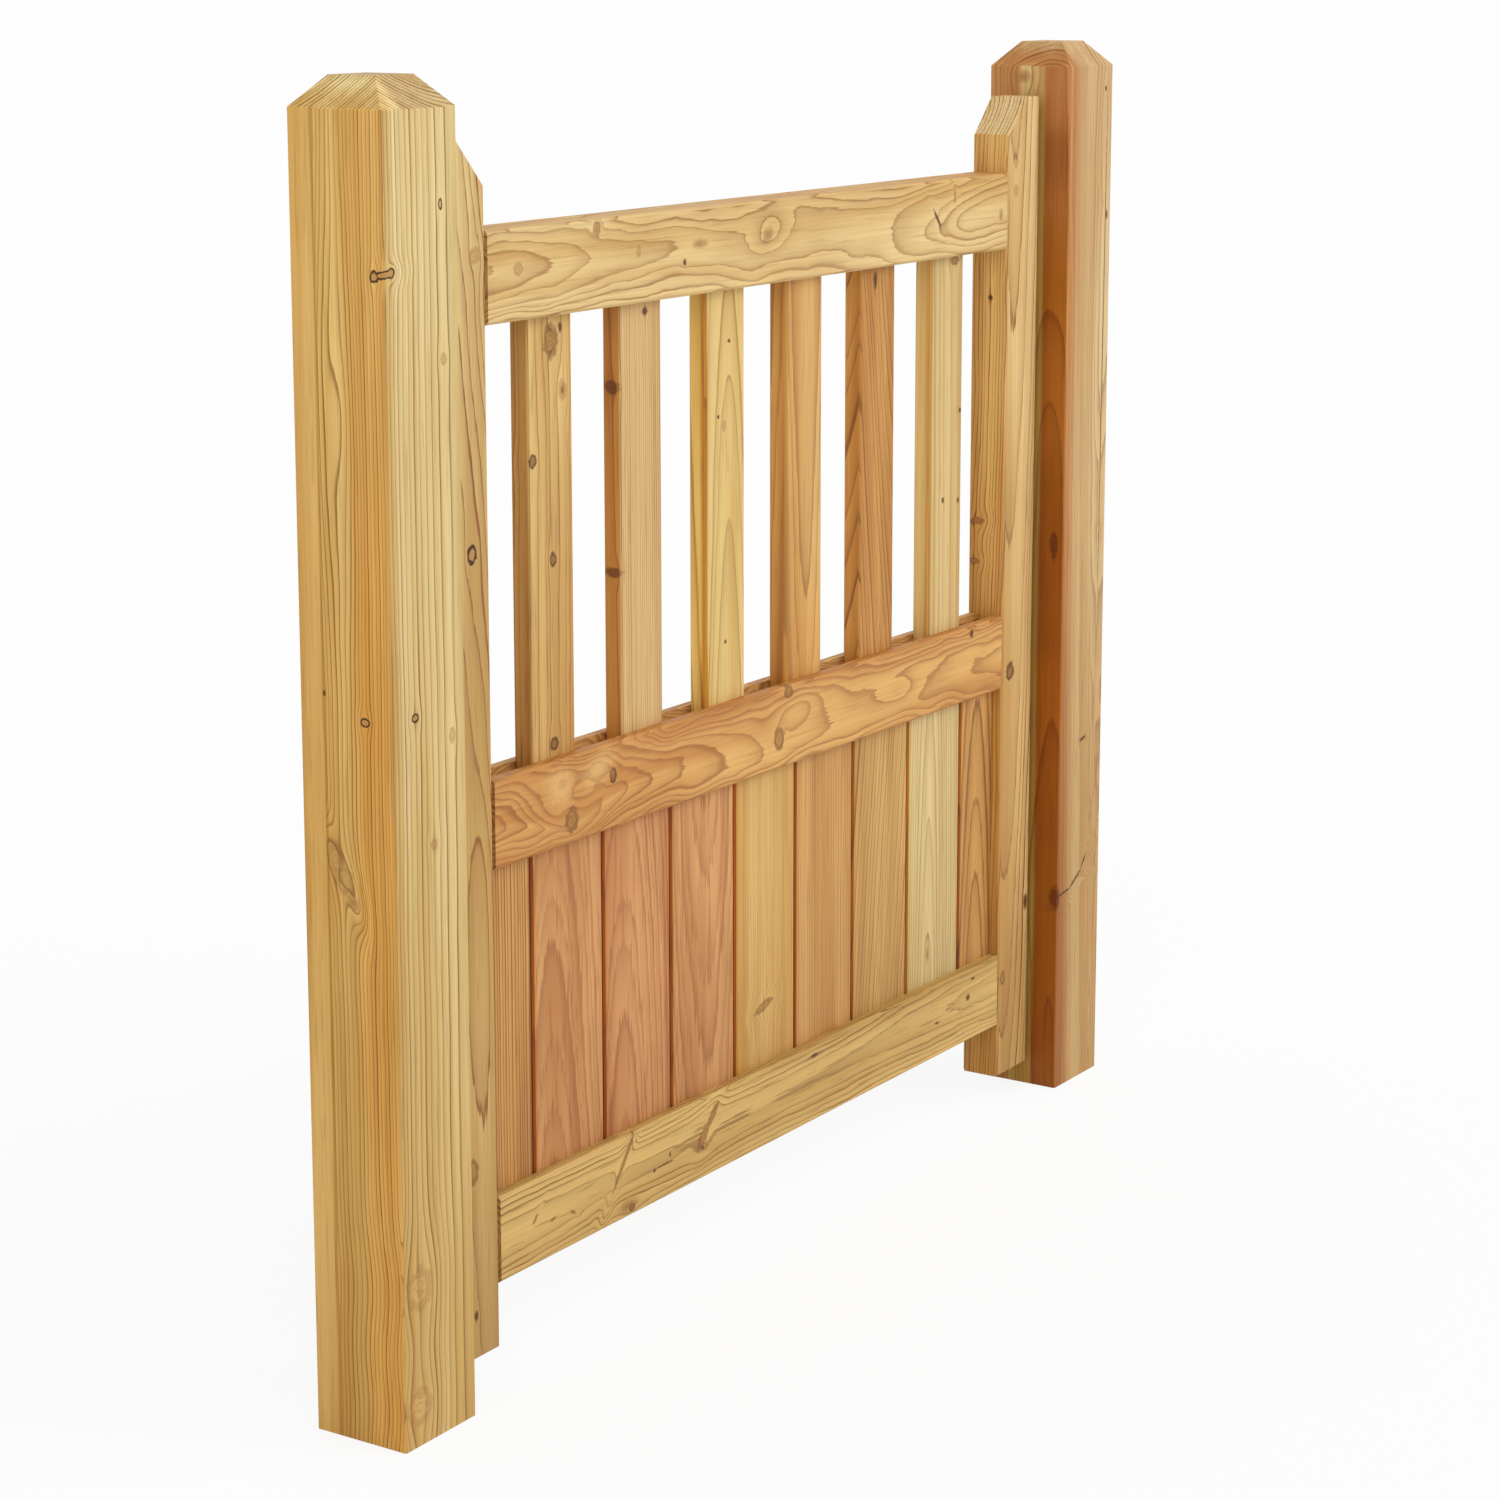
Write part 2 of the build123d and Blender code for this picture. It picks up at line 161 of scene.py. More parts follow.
class Sheet:
    """The node sheet of one material, or of the surroundings."""

    def __init__(self, owner: bpy.types.Material | bpy.types.World) -> None:
        """Start an empty sheet for its owner."""
        owner.use_nodes = True
        self.owner = owner
        self.tree = owner.node_tree
        self.tree.nodes.clear()

    def node(self, kind: str, settings: dict | None = None, sockets: dict | None = None) -> bpy.types.Node:
        """Add a node.

        Args:
            kind: Blender's name of the node type.
            settings: Properties of the node, set before its sockets.
            sockets: Values or links by the input's name or number.

        Returns:
            The new node.
        """
        made = self.tree.nodes.new(kind)
        for key, value in (settings or {}).items():
            setattr(made, key, value)
        for key, value in (sockets or {}).items():
            source = value.socket if isinstance(value, Signal) else value
            if isinstance(source, bpy.types.NodeSocket):
                self.tree.links.new(source, made.inputs[key])
            else:
                made.inputs[key].default_value = source
        return made

    def value(self, kind: str, settings: dict | None, sockets: dict, output: int = 0) -> Signal:
        """Add a node and take one of its outputs as a value."""
        return Signal(self, self.node(kind, settings, sockets).outputs[output])

    def math(self, operation: str, first: Value, second: Value = 0.0) -> Signal:
        """Add a Math node."""
        return self.value("ShaderNodeMath", {"operation": operation}, {0: first, 1: second})

    def vector(self, operation: str, *parts: Socket | Triple | list[float]) -> Socket:
        """Add a Vector Math node and take its vector."""
        return self.node("ShaderNodeVectorMath", {"operation": operation}, dict(enumerate(parts))).outputs[0]

    def dot(self, first: Socket, second: Socket) -> Signal:
        """The dot product of two vectors."""
        return self.value("ShaderNodeVectorMath", {"operation": "DOT_PRODUCT"}, {0: first, 1: second}, 1)

    def scale(self, vector: Socket, share: Signal) -> Socket:
        """A vector or colour times a value."""
        return self.node("ShaderNodeVectorMath", {"operation": "SCALE"}, {0: vector, 3: share}).outputs[0]

    def split(self, vector: Socket) -> list[Signal]:
        """The three parts of a vector."""
        return [Signal(self, part) for part in self.node("ShaderNodeSeparateXYZ", None, {0: vector}).outputs]

    def coordinates(self, kind: str = "Object") -> Socket:
        """Coordinates over the surface, of the kind that Blender names."""
        return self.node("ShaderNodeTexCoord").outputs[kind]

    def mix(self, share: Value, under: Socket | Colour, over: Socket | Colour, blend: str = "MIX") -> Socket:
        """Lay a colour over another by a share, with a blend that Blender names."""
        settings = {"data_type": "RGBA", "blend_type": blend, "clamp_factor": True}
        return self.node("ShaderNodeMix", settings, {0: share, 6: under, 7: over}).outputs[2]

    def tint(self, colour: Socket, tint: Triple, share: Value = 1.0) -> Socket:
        """Multiply a colour by a tint, as far as a share says."""
        return self.mix(share, colour, (*tint, 1.0), "MULTIPLY")

    def noise(self, place: Socket, stretch: Triple | list[float], seed: float, detail: float = 2.0) -> Signal:
        """Add soft noise, about 0 to 1, with its own cells a metre along each axis."""
        moved = self.vector("MULTIPLY_ADD", place, stretch, [seed * step for step in SEED_STEPS])
        return self.value("ShaderNodeTexNoise", None, {"Vector": moved, "Scale": 1.0, "Detail": detail})

    def bump(self, height: Signal, strength: float, distance: float) -> Socket:
        """Turn a height into a surface's relief."""
        sockets = {"Strength": strength, "Distance": distance, "Height": height}
        return self.node("ShaderNodeBump", None, sockets).outputs[0]

    def finish(self, **sockets: Signal | Socket | float | Colour) -> bpy.types.Material:
        """Close the sheet with a Principled shader.

        Args:
            **sockets: The shader's inputs, with _ for a space.

        Returns:
            The finished material.
        """
        inputs = {key.replace("_", " "): value for key, value in sockets.items()}
        shader = self.node("ShaderNodeBsdfPrincipled", None, inputs)
        self.node("ShaderNodeOutputMaterial", None, {"Surface": shader.outputs[0]})
        return self.owner


class Grain(Enum):
    """The axis that a timber's grain runs along."""

    LEVEL = 0
    UPRIGHT = 2


class Face(Enum):
    """The faces that knots are marked on, each by the axis that runs level in it."""

    FRONT = 0
    SIDE = 1


class Speckle(Enum):
    """Noises in the wood: cells a metre across and along the grain, a seed and levels of detail."""

    FIBRE = ((520.0, 7.0), 6.0, 3.0)
    DASH = ((330.0, 16.0), 9.0, 1.0)
    SWAY = ((16.0, 5.0), 14.0, 2.0)
    WAVER = ((45.0, 16.0), 2.0, 2.0)
    FADE = ((28.0, 3.4), 12.0, 1.0)
    STREAK = ((30.0, 0.9), 4.0, 4.0)
    CLOUD = ((9.0, 3.0), 7.0, 2.0)
    RAGGED = ((160.0, 160.0), 8.0, 2.0)


@dataclass(frozen=True)
class KnotTone:
    """Colours of one kind of knot.

    Attributes:
        core: Colour inside.
        core_share: How much of it shows.
        rim: Colour of the edge.
        rim_share: How much of it shows.
        ring_share: How far the knot's own rings darken it.
        blur: How far the inside fades across the edge, in the knot's radii.
    """

    core: Tone
    core_share: float
    rim: Tone
    rim_share: float
    ring_share: float
    blur: float = 0.0


class KnotLook(Enum):
    """The kinds of knot and mark in this larch, with a painted sheen. A swell only moves the rings."""

    SOUND = KnotTone((160, 114, 58), 0.7, (104, 60, 20), 0.55, 0.5)
    RINGED = KnotTone((186, 132, 72), 0.65, (60, 30, 6), 0.95, 0.3)
    TIGHT = KnotTone((138, 92, 44), 0.8, (78, 44, 14), 0.8, 0.45)
    DARK = KnotTone((80, 45, 14), 0.9, (116, 72, 28), 0.4, 0.0)
    FAINT = KnotTone((184, 138, 80), 0.42, (126, 82, 36), 0.3, 0.4)
    HEART = KnotTone((104, 42, 6), 0.75, (70, 26, 3), 0.4, 0.45)
    SWIRL = KnotTone((206, 162, 98), 0.4, (150, 102, 48), 0.32, 0.4)
    RESIN = KnotTone((150, 90, 30), 0.7, (112, 64, 20), 0.5, 0.6)
    SMUDGE = KnotTone((146, 94, 42), 0.6, (110, 66, 24), 0.0, 0.35, 0.55)
    # Painted sheen: pale patches beside knots that stand in for the shimmer of light on the wood.
    PAINTED_SHEEN = KnotTone((238, 197, 130), 0.42, (214, 170, 112), 0.0, 0.0, 0.6)
    SWELL = KnotTone((210, 170, 110), 0.0, (160, 120, 70), 0.0, 0.0)

    def marks(self, *spots: tuple[float, float, float, float], **how: "Face | float") -> "tuple[Knot, ...]":
        """Knots of this kind at some spots, which also share how they lie."""
        return tuple(Knot(*spot, self, **how) for spot in spots)


@dataclass(frozen=True)
class Knot:
    """A knot or mark on a face, in millimetres.

    Attributes:
        level: Place along the gate, or through its depth on a side.
        height: Height above the ground.
        wide: Width.
        tall: Height of the knot itself.
        look: Kind of knot.
        face: Face that it is marked on.
        turn: Lean of the knot in its face, in degrees against the clock.
        deep: Reach of the knot into the wood.
        rise: How far the rings rise round the knot.
    """

    level: float
    height: float
    wide: float
    tall: float
    look: KnotLook
    face: Face = Face.FRONT
    turn: float = 0.0
    deep: float = 40.0
    rise: float = 0.0


@dataclass(frozen=True)
class Stain:
    """A darker, paler or warmer zone of a timber.

    Attributes:
        limits: Limits of the zone, each an axis with the places in millimetres where it starts and is full.
        tint: Colour that the wood is multiplied by.
    """

    limits: tuple[Limit, ...]
    tint: Triple


# Painted light: the wood is painted lighter toward the top, for the light that falls from above.
PAINTED_TOP_LIGHT = Stain(((2, 450, 1150),), (1.12, 1.2, 1.36))
# Painted shade: the wood is painted darker toward the ground, where less light falls.
PAINTED_GROUND_SHADE = Stain(((2, 420, 0),), (0.76, 0.7, 0.62))


@dataclass(frozen=True)
class Figure:
    """The figure of one timber, lengths in millimetres.

    Attributes:
        pale: Colour of its lightest wood.
        warm: Colour of its warmer streaks.
        line: Colour of the late wood that closes each ring.
        pith: Centre of the rings, across the piece and toward the back, from the middle of the piece.
        spacing: Width of a ring.
        grain: Way that the grain runs.
        late: Share of a ring that the late wood takes.
        contrast: Strength of the lines.
        shade: How far a ring darkens toward its line.
        lean: Drift of the pith across and toward the back, in millimetres a metre.
        bow: Where along the piece its pith lies deepest, and its rise from there, in millimetres for a
            metre squared.
        wave: Slow wander of the rings.
        ripple: Finer waver of the rings.
        cells: Waves a metre across and along the grain.
        fray: How far the fibre frays the lines, as a share of a ring.
        flame: How far it frays them where the rings lie flat in a face.
        fleck: Strength of the short dark dashes.
        knots: Knots and marks.
        stains: Zones of another tone.
        quiet: Limits of a zone where the rings don't show, written as in a stain.
        seed: Number that makes the figure its own.
    """

    pale: Tone
    warm: Tone
    line: Tone
    pith: tuple[float, float]
    spacing: float
    grain: Grain = Grain.UPRIGHT
    late: float = 0.3
    contrast: float = 0.9
    shade: float = 0.34
    lean: tuple[float, float] = (0.0, 0.0)
    bow: tuple[float, float] = (0.0, 0.0)
    wave: float = 2.0
    ripple: float = 0.4
    cells: tuple[float, float] = (14.0, 4.2)
    fray: float = 0.2
    flame: float = 0.0
    fleck: float = 0.2
    knots: tuple[Knot, ...] = ()
    stains: tuple[Stain, ...] = ()
    quiet: tuple[Limit, ...] = ()
    seed: float = 1.0


@dataclass(frozen=True)
class LarchFinish:
    """Planed larch under clear oil.

    Attributes:
        roughness: Roughness of the early wood.
        sheen: Level of the oil's reflection.
        oil: Tone that the oil gives to the wood.
        late_polish: How much smoother the hard late wood is.
        fibre_share: Depth of the fine fibre in the colour.
        warm_levels: Levels of noise between which the wood turns warm.
        dashes: Levels of noise at which a short dark dash starts and is full.
        end_gain: How much stronger the lines are in end grain.
        steep: Cut of the rings in a face from which the lines take their full share.
        flattest: Cut below which they get no thinner.
        uneven: How far the rings' widths differ, in rings.
        ring_cells: Noise cells a metre that set those widths.
        knot_edge: Distances at which a knot's inside starts and is full, in its radii.
        knot_rim: Distances at which its rim starts, is full, fades and has gone, in its radii.
        knot_rings: Rings of a knot in its radius.
        knot_pull: How far a knot pushes the rings aside.
        knot_tail: How much longer that push is along the grain.
        push_fade: Rate at which the push fades away from a knot.
        lift: Rise at a knot that makes the cut as good as square, in metres.
        relief: Height of the late wood above the early wood, in metres.
        sway: Wander of the edges of stains, in metres.
        sharp: Width of a stain's edge below which it doesn't wander, in millimetres.
        calm: How far the rings fade in a quiet zone.
        arris: Width of the worn edges, in metres.
        worn: Tone that the edges wear to, as a share of the wood's colour.
    """

    roughness: float = 0.58
    sheen: float = 0.25
    oil: Triple = (0.93, 0.915, 0.82)
    late_polish: float = 0.14
    fibre_share: float = 0.2
    warm_levels: tuple[float, float] = (0.38, 0.62)
    dashes: tuple[float, float] = (0.58, 0.74)
    end_gain: float = 0.8
    steep: float = 0.45
    flattest: float = 0.14
    uneven: float = 1.6
    ring_cells: float = 70.0
    knot_edge: tuple[float, float] = (1.08, 0.7)
    knot_rim: tuple[float, float, float, float] = (0.64, 0.88, 1.1, 1.38)
    knot_rings: float = 2.6
    knot_pull: float = 0.85
    knot_tail: float = 1.8
    push_fade: float = 0.3
    lift: float = 0.03
    relief: float = 0.0003
    sway: float = 0.005
    sharp: float = 2.0
    calm: float = 0.96
    arris: float = 0.0014
    worn: Triple = (0.9, 0.83, 0.72)

    def material(self, name: str, figure: Figure) -> bpy.types.Material:
        """Make the material of one timber, named by its node."""
        return LarchTimber(self, name, figure).material()


class LarchTimber:
    """The larch of one timber, worked out through the solid so that all its faces agree."""

    def __init__(self, finish: LarchFinish, name: str, figure: Figure) -> None:
        """Start the timber's sheet with what its parts share.

        Args:
            finish: Finish of the wood.
            name: The timber's node.
            figure: Its figure.
        """
        self.finish = finish
        self.figure = figure
        self.along = figure.grain.value
        self.low, self.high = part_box(name)
        self.sheet = Sheet(bpy.data.materials.new(f"{name}_larch"))
        self.place = self.sheet.coordinates()
        self.normal = self.sheet.coordinates("Normal")
        self.levels = self.sheet.split(self.place)
        self.fibre = self.noise(self.place, *Speckle.FIBRE.value)
        self.sway = (self.noise(self.place, *Speckle.SWAY.value) - 0.5) * finish.sway

    def material(self) -> bpy.types.Material:
        """Lay out the colour, the roughness and the relief.

        Returns:
            The finished material.
        """
        finish, figure, sheet, fibre = self.finish, self.figure, self.sheet, self.fibre
        pale, warm, dark = (tone(*part) for part in (figure.pale, figure.warm, figure.line))
        bent, rise, knots = self.knots()
        phase, each, line = self.rings(bent, rise)
        if figure.quiet:
            shown = 1 - self.zone(figure.quiet) * finish.calm
            phase = phase * shown
            each = (each - 0.5) * shown + 0.5
            line = line * shown
        streak = self.noise(bent, *Speckle.STREAK.value)
        cloud = self.noise(self.place, *Speckle.CLOUD.value)
        dash = self.noise(self.place, *Speckle.DASH.value).smooth(*finish.dashes)
        warmth = (streak * 0.75 + cloud * 0.25).smooth(*finish.warm_levels) + (each - 0.5) * 0.4
        colour = sheet.mix(warmth, pale, warm)
        colour = sheet.mix(phase * phase * figure.shade, colour, dark)
        colour = sheet.mix(line * (figure.contrast + self.end_cut() * finish.end_gain), colour, dark)
        colour = sheet.mix(dash * figure.fleck, colour, dark)
        colour = sheet.scale(colour, 1 + (fibre - 0.5) * (2 * finish.fibre_share))
        colour = sheet.tint(colour, finish.oil)
        for stain in figure.stains:
            colour = sheet.tint(colour, stain.tint, self.zone(stain.limits))
        for look, reach in knots.items():
            if look is not KnotLook.SWELL:
                colour = self.knot_colour(colour, look.value, reach)
        edge = self.edge() * (fibre * 0.5 + cloud * 0.9).smooth(0.4, 0.95)
        colour = sheet.tint(colour, finish.worn, edge)
        rough = finish.roughness - line * finish.late_polish + (fibre - 0.5) * 0.2 + edge * 0.1
        bump = sheet.bump(line * 0.6 + fibre * 0.6 - dash * 0.3, 0.4, finish.relief)
        return sheet.finish(Base_Color=colour, Roughness=rough, Specular_IOR_Level=finish.sheen, Normal=bump)

    def noise(self, place: Socket, cells: tuple[float, float], seed: float, detail: float) -> Signal:
        """Add noise that is drawn out along the grain.

        Args:
            place: Coordinates in metres.
            cells: Cells a metre across and along the grain.
            seed: Number that sets this noise apart from the timber's others.
            detail: Levels of finer noise.

        Returns:
            The noise, about 0 to 1.
        """
        stretch = [cells[0]] * 3
        stretch[self.along] = cells[1]
        return self.sheet.noise(place, stretch, self.figure.seed + seed, detail)

    def end_cut(self) -> Signal:
        """How far a face is cut across the grain, 0 on faces along it."""
        return self.sheet.math("ABSOLUTE", self.sheet.split(self.normal)[self.along]).smooth(0.1, 0.6)

    def edge(self) -> Signal:
        """A mask that is 1 at the edges of the timber.

        Returns:
            The mask.
        """
        rounded = self.sheet.node("ShaderNodeBevel", {"samples": 4}, {"Radius": self.finish.arris}).outputs[0]
        flat = self.sheet.node("ShaderNodeNewGeometry").outputs["Normal"]
        return self.sheet.dot(rounded, flat).smooth(0.995, 0.85)

    def rings(self, place: Socket, rise: Value) -> tuple[Signal, Signal, Signal]:
        """Lay the growth rings round a pith that leans and wanders.

        Args:
            place: Coordinates, already pushed aside by the knots.
            rise: How far the knots lift the rings.

        Returns:
            The place within a ring, a number for each ring, and the strength of the late wood's line.
        """
        figure, finish, sheet = self.figure, self.finish, self.sheet
        across = 2 - self.along
        middle = (self.low + self.high) / 2
        ring = figure.spacing * MM
        lean = [drift * MM for drift in figure.lean]
        bend = figure.bow[1] * MM
        parts = sheet.split(place)
        length = parts[self.along] - middle[self.along]
        side = parts[across] - (middle[across] + figure.pith[0] * MM) - length * lean[0]
        depth = parts[1] - (middle[1] + figure.pith[1] * MM) - length * lean[1]
        away = length - figure.bow[0] * MM
        depth = depth + away * away * bend
        climb = depth * (away * (2 * bend) - lean[1]) - side * lean[0]
        cut = (self.cut(side, depth, climb) + rise / finish.lift).most(finish.flattest)
        slow = self.noise(place, figure.cells, 0.0, 1.0)
        quick = self.noise(place, *Speckle.WAVER.value)
        frayed = self.fibre - 0.5
        stray = (slow - 0.5) * (4 * figure.wave * MM) + (quick - 0.5) * (4 * figure.ripple * MM)
        stray = (stray + frayed * (figure.fray * ring)) * cut + frayed * (figure.flame * ring)
        radius = (side * side + depth * depth) ** 0.5 - rise + stray
        one = {"noise_dimensions": "1D"}
        sockets = {"W": radius + figure.seed, "Scale": finish.ring_cells, "Detail": 1.0}
        width = sheet.value("ShaderNodeTexNoise", one, sockets)
        rings = radius / ring + width * finish.uneven
        phase = rings.fraction()
        each = sheet.value("ShaderNodeTexWhiteNoise", one, {"W": rings.whole() + figure.seed})
        late = (0.6 + each * 0.7) * figure.late * (cut / finish.steep).least(1.0)
        line = phase.smooth(1 - late, 1 - late * 0.3) * phase.smooth(1.0, 1 - late * 0.22)
        fade = self.noise(place, *Speckle.FADE.value).smooth(0.3, 0.62)
        return phase, each, line * (0.5 + each * 0.5) * (0.55 + fade * 0.45)

    def cut(self, side: Signal, depth: Signal, climb: Signal) -> Signal:
        """How squarely a face cuts the rings.

        Args:
            side: Direction away from the pith, across the piece.
            depth: The same toward the back.
            climb: The same along the grain.

        Returns:
            The cut, 1 where the rings stand square to the face and near 0 where they lie in it.
        """
        sockets = {2 - self.along: side, 1: depth, self.along: climb}
        outward = self.sheet.node("ShaderNodeCombineXYZ", None, sockets).outputs[0]
        facing = self.sheet.dot(self.sheet.vector("NORMALIZE", outward), self.normal)
        return (1 - facing * facing).most(0.0) ** 0.5

    def knots(self) -> tuple[Socket, Value, dict[KnotLook, Signal]]:
        """Push the rings aside at each knot.

        Returns:
            The bent coordinates, how far the rings are lifted, and for each kind of knot the distance from
            the nearest, in its own radii.
        """
        sheet, place = self.sheet, self.place
        bent = place
        rise: Value = 0.0
        reaches: dict[KnotLook, Signal] = {}
        for knot in self.figure.knots:
            flat = knot.face.value
            inward = 1 - flat
            centre = [0.0, 0.0, knot.height * MM]
            centre[flat] = knot.level * MM
            centre[inward] = self.low[inward]
            half = [knot.deep * MM, knot.deep * MM, knot.tall * MM / 2]
            half[flat] = knot.wide * MM / 2
            turned = place
            if knot.turn:
                axis = [float(number == inward) for number in range(3)]
                sockets = {"Vector": place, "Center": centre, "Axis": axis, "Angle": math.radians(knot.turn)}
                settings = {"rotation_type": "AXIS_ANGLE"}
                turned = sheet.node("ShaderNodeVectorRotate", settings, sockets).outputs[0]
            reach = self.reach(turned, centre, half)
            if knot.rise:
                rise = reach.decay(1.0) * (knot.rise * MM) + rise
            half[self.along] *= self.finish.knot_tail
            push = self.reach(turned, centre, half).decay(self.finish.push_fade)
            pull = [0.0, 0.0, 0.0]
            pull[1 if flat else 2 - self.along] = self.finish.knot_pull
            shift = [-share * middle for share, middle in zip(pull, centre)]
            apart = sheet.vector("MULTIPLY_ADD", place, pull, shift)
            bent = sheet.vector("SUBTRACT", bent, sheet.scale(apart, push))
            known = reaches.get(knot.look)
            reaches[knot.look] = reach if known is None else known.least(reach)
        ragged = self.noise(place, *Speckle.RAGGED.value) - 0.5
        return bent, rise, {look: reach**0.5 + ragged for look, reach in reaches.items()}

    def reach(self, place: Socket, centre: list[float], half: list[float]) -> Signal:
        """Squared distance from a knot, in its own radii.

        Args:
            place: Coordinates in metres.
            centre: Middle of the knot.
            half: Half of its size along each axis.

        Returns:
            The squared distance.
        """
        scale = [1 / part for part in half]
        shift = [-middle / part for middle, part in zip(centre, half)]
        apart = self.sheet.vector("MULTIPLY_ADD", place, scale, shift)
        return self.sheet.dot(apart, apart)

    def knot_colour(self, colour: Socket, look: KnotTone, reach: Signal) -> Socket:
        """Paint knots of one kind over the wood.

        Args:
            colour: Colour of the wood.
            look: Colours of the knots.
            reach: Distance from the nearest of them.

        Returns:
            The colour with the knots.
        """
        sheet, finish = self.sheet, self.finish
        start, full = finish.knot_edge
        inside = reach.smooth(start + look.blur, full - look.blur)
        own = (reach * finish.knot_rings).fraction().smooth(0.55, 0.95)
        enter, shown, leave, gone = finish.knot_rim
        rim = reach.smooth(enter, shown) * reach.smooth(gone, leave)
        colour = sheet.mix(inside * look.core_share, colour, tone(*look.core))
        colour = sheet.mix(inside * own * look.ring_share, colour, tone(*look.rim))
        return sheet.mix(rim * look.rim_share, colour, tone(*look.rim))

    def zone(self, limits: tuple[Limit, ...]) -> Signal:
        """A mask that is 1 within some limits.

        Args:
            limits: The limits, written as in a stain.

        Returns:
            The mask.
        """
        steps = []
        for axis, start, full in limits:
            level = self.levels[axis]
            if abs(full - start) >= self.finish.sharp:
                level = level + self.sway
            steps.append(level.smooth(start * MM, full * MM))
        return math.prod(steps[1:], start=steps[0])


@dataclass(frozen=True)
class SteelFinish:
    """Galvanised steel with a faint crystal pattern.

    Attributes:
        light: Lighter crystals.
        dark: Darker crystals.
        crystal: Crystals per metre.
        roughness: Middle roughness.
        relief: Height of scratches and crystals, in metres.
    """

    light: Colour = tone(196, 199, 202)
    dark: Colour = tone(148, 152, 157)
    crystal: float = 420.0
    roughness: float = 0.42
    relief: float = 0.0002

    def material(self, name: str, seed: float) -> bpy.types.Material:
        """Make the steel's material.

        Args:
            name: Name of the material.
            seed: Number that moves its pattern.

        Returns:
            The material.
        """
        sheet = Sheet(bpy.data.materials.new(name))
        place = sheet.coordinates()
        cells = sheet.node("ShaderNodeTexVoronoi", None, {"Vector": place, "Scale": self.crystal})
        crystal = sheet.value("ShaderNodeSeparateColor", None, {0: cells.outputs["Color"]})
        dull = sheet.noise(place, (60.0, 60.0, 60.0), seed, 4.0)
        scratch = sheet.noise(place, (90.0, 90.0, 1400.0), seed + 3.0)
        colour = sheet.mix((crystal * 0.6 + dull * 0.5).smooth(0.2, 0.9), self.dark, self.light)
        rough = self.roughness + (dull - 0.5) * 0.3 + (crystal - 0.5) * 0.08
        bump = sheet.bump(scratch + crystal * 0.4, 0.2, self.relief)
        return sheet.finish(Base_Color=colour, Metallic=1.0, Roughness=rough, Normal=bump)


@dataclass(frozen=True)
class WedgeFinish:
    """Sawn oak, its end grain showing at the stiles' edges.

    Attributes:
        light: Lighter wood.
        dark: Pores and saw marks.
        roughness: Middle roughness.
        relief: Depth of the pores and saw marks, in metres.
    """

    light: Colour = tone(188, 152, 104)
    dark: Colour = tone(128, 92, 54)
    roughness: float = 0.68
    relief: float = 0.0003

    def material(self, name: str, seed: float) -> bpy.types.Material:
        """Make the oak's material.

        Args:
            name: Name of the material.
            seed: Number that moves its pattern.

        Returns:
            The material.
        """
        sheet = Sheet(bpy.data.materials.new(name))
        place = sheet.coordinates()
        pores = sheet.noise(place, (60.0, 1500.0, 1500.0), seed, 3.0)
        marks = sheet.noise(place, (40.0, 40.0, 900.0), seed + 2.0)
        colour = sheet.mix((pores * 0.6 + marks * 0.5).smooth(0.35, 0.75), self.light, self.dark)
        rough = self.roughness + (pores - 0.5) * 0.2
        bump = sheet.bump(pores + marks, 0.4, self.relief)
        return sheet.finish(Base_Color=colour, Roughness=rough, Normal=bump)


def dress(node: str, material: bpy.types.Material) -> None:
    """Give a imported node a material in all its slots.

    Args:
        node: Name of the node.
        material: Its new material.
    """
    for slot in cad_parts[node].material_slots:
        slot.material = material
    log.info("%s dressed with %s", node, material.name)


def link(name: str, data: bpy.types.ID) -> bpy.types.Object:
    """Put an object into the scene.

    Args:
        name: Name of the object.
        data: Its mesh, lamp or camera.

    Returns:
        The object.
    """
    made = bpy.data.objects.new(name, data)
    bpy.context.scene.collection.objects.link(made)
    return made


def solid(name: str, shape: bmesh.types.BMesh) -> bpy.types.Object:
    """Put a shape into the scene and free it.

    Args:
        name: Name of the object.
        shape: Its shape.

    Returns:
        The object.
    """
    mesh = bpy.data.meshes.new(name)
    shape.to_mesh(mesh)
    shape.free()
    made = link(name, mesh)
    bpy.context.view_layer.update()
    return made


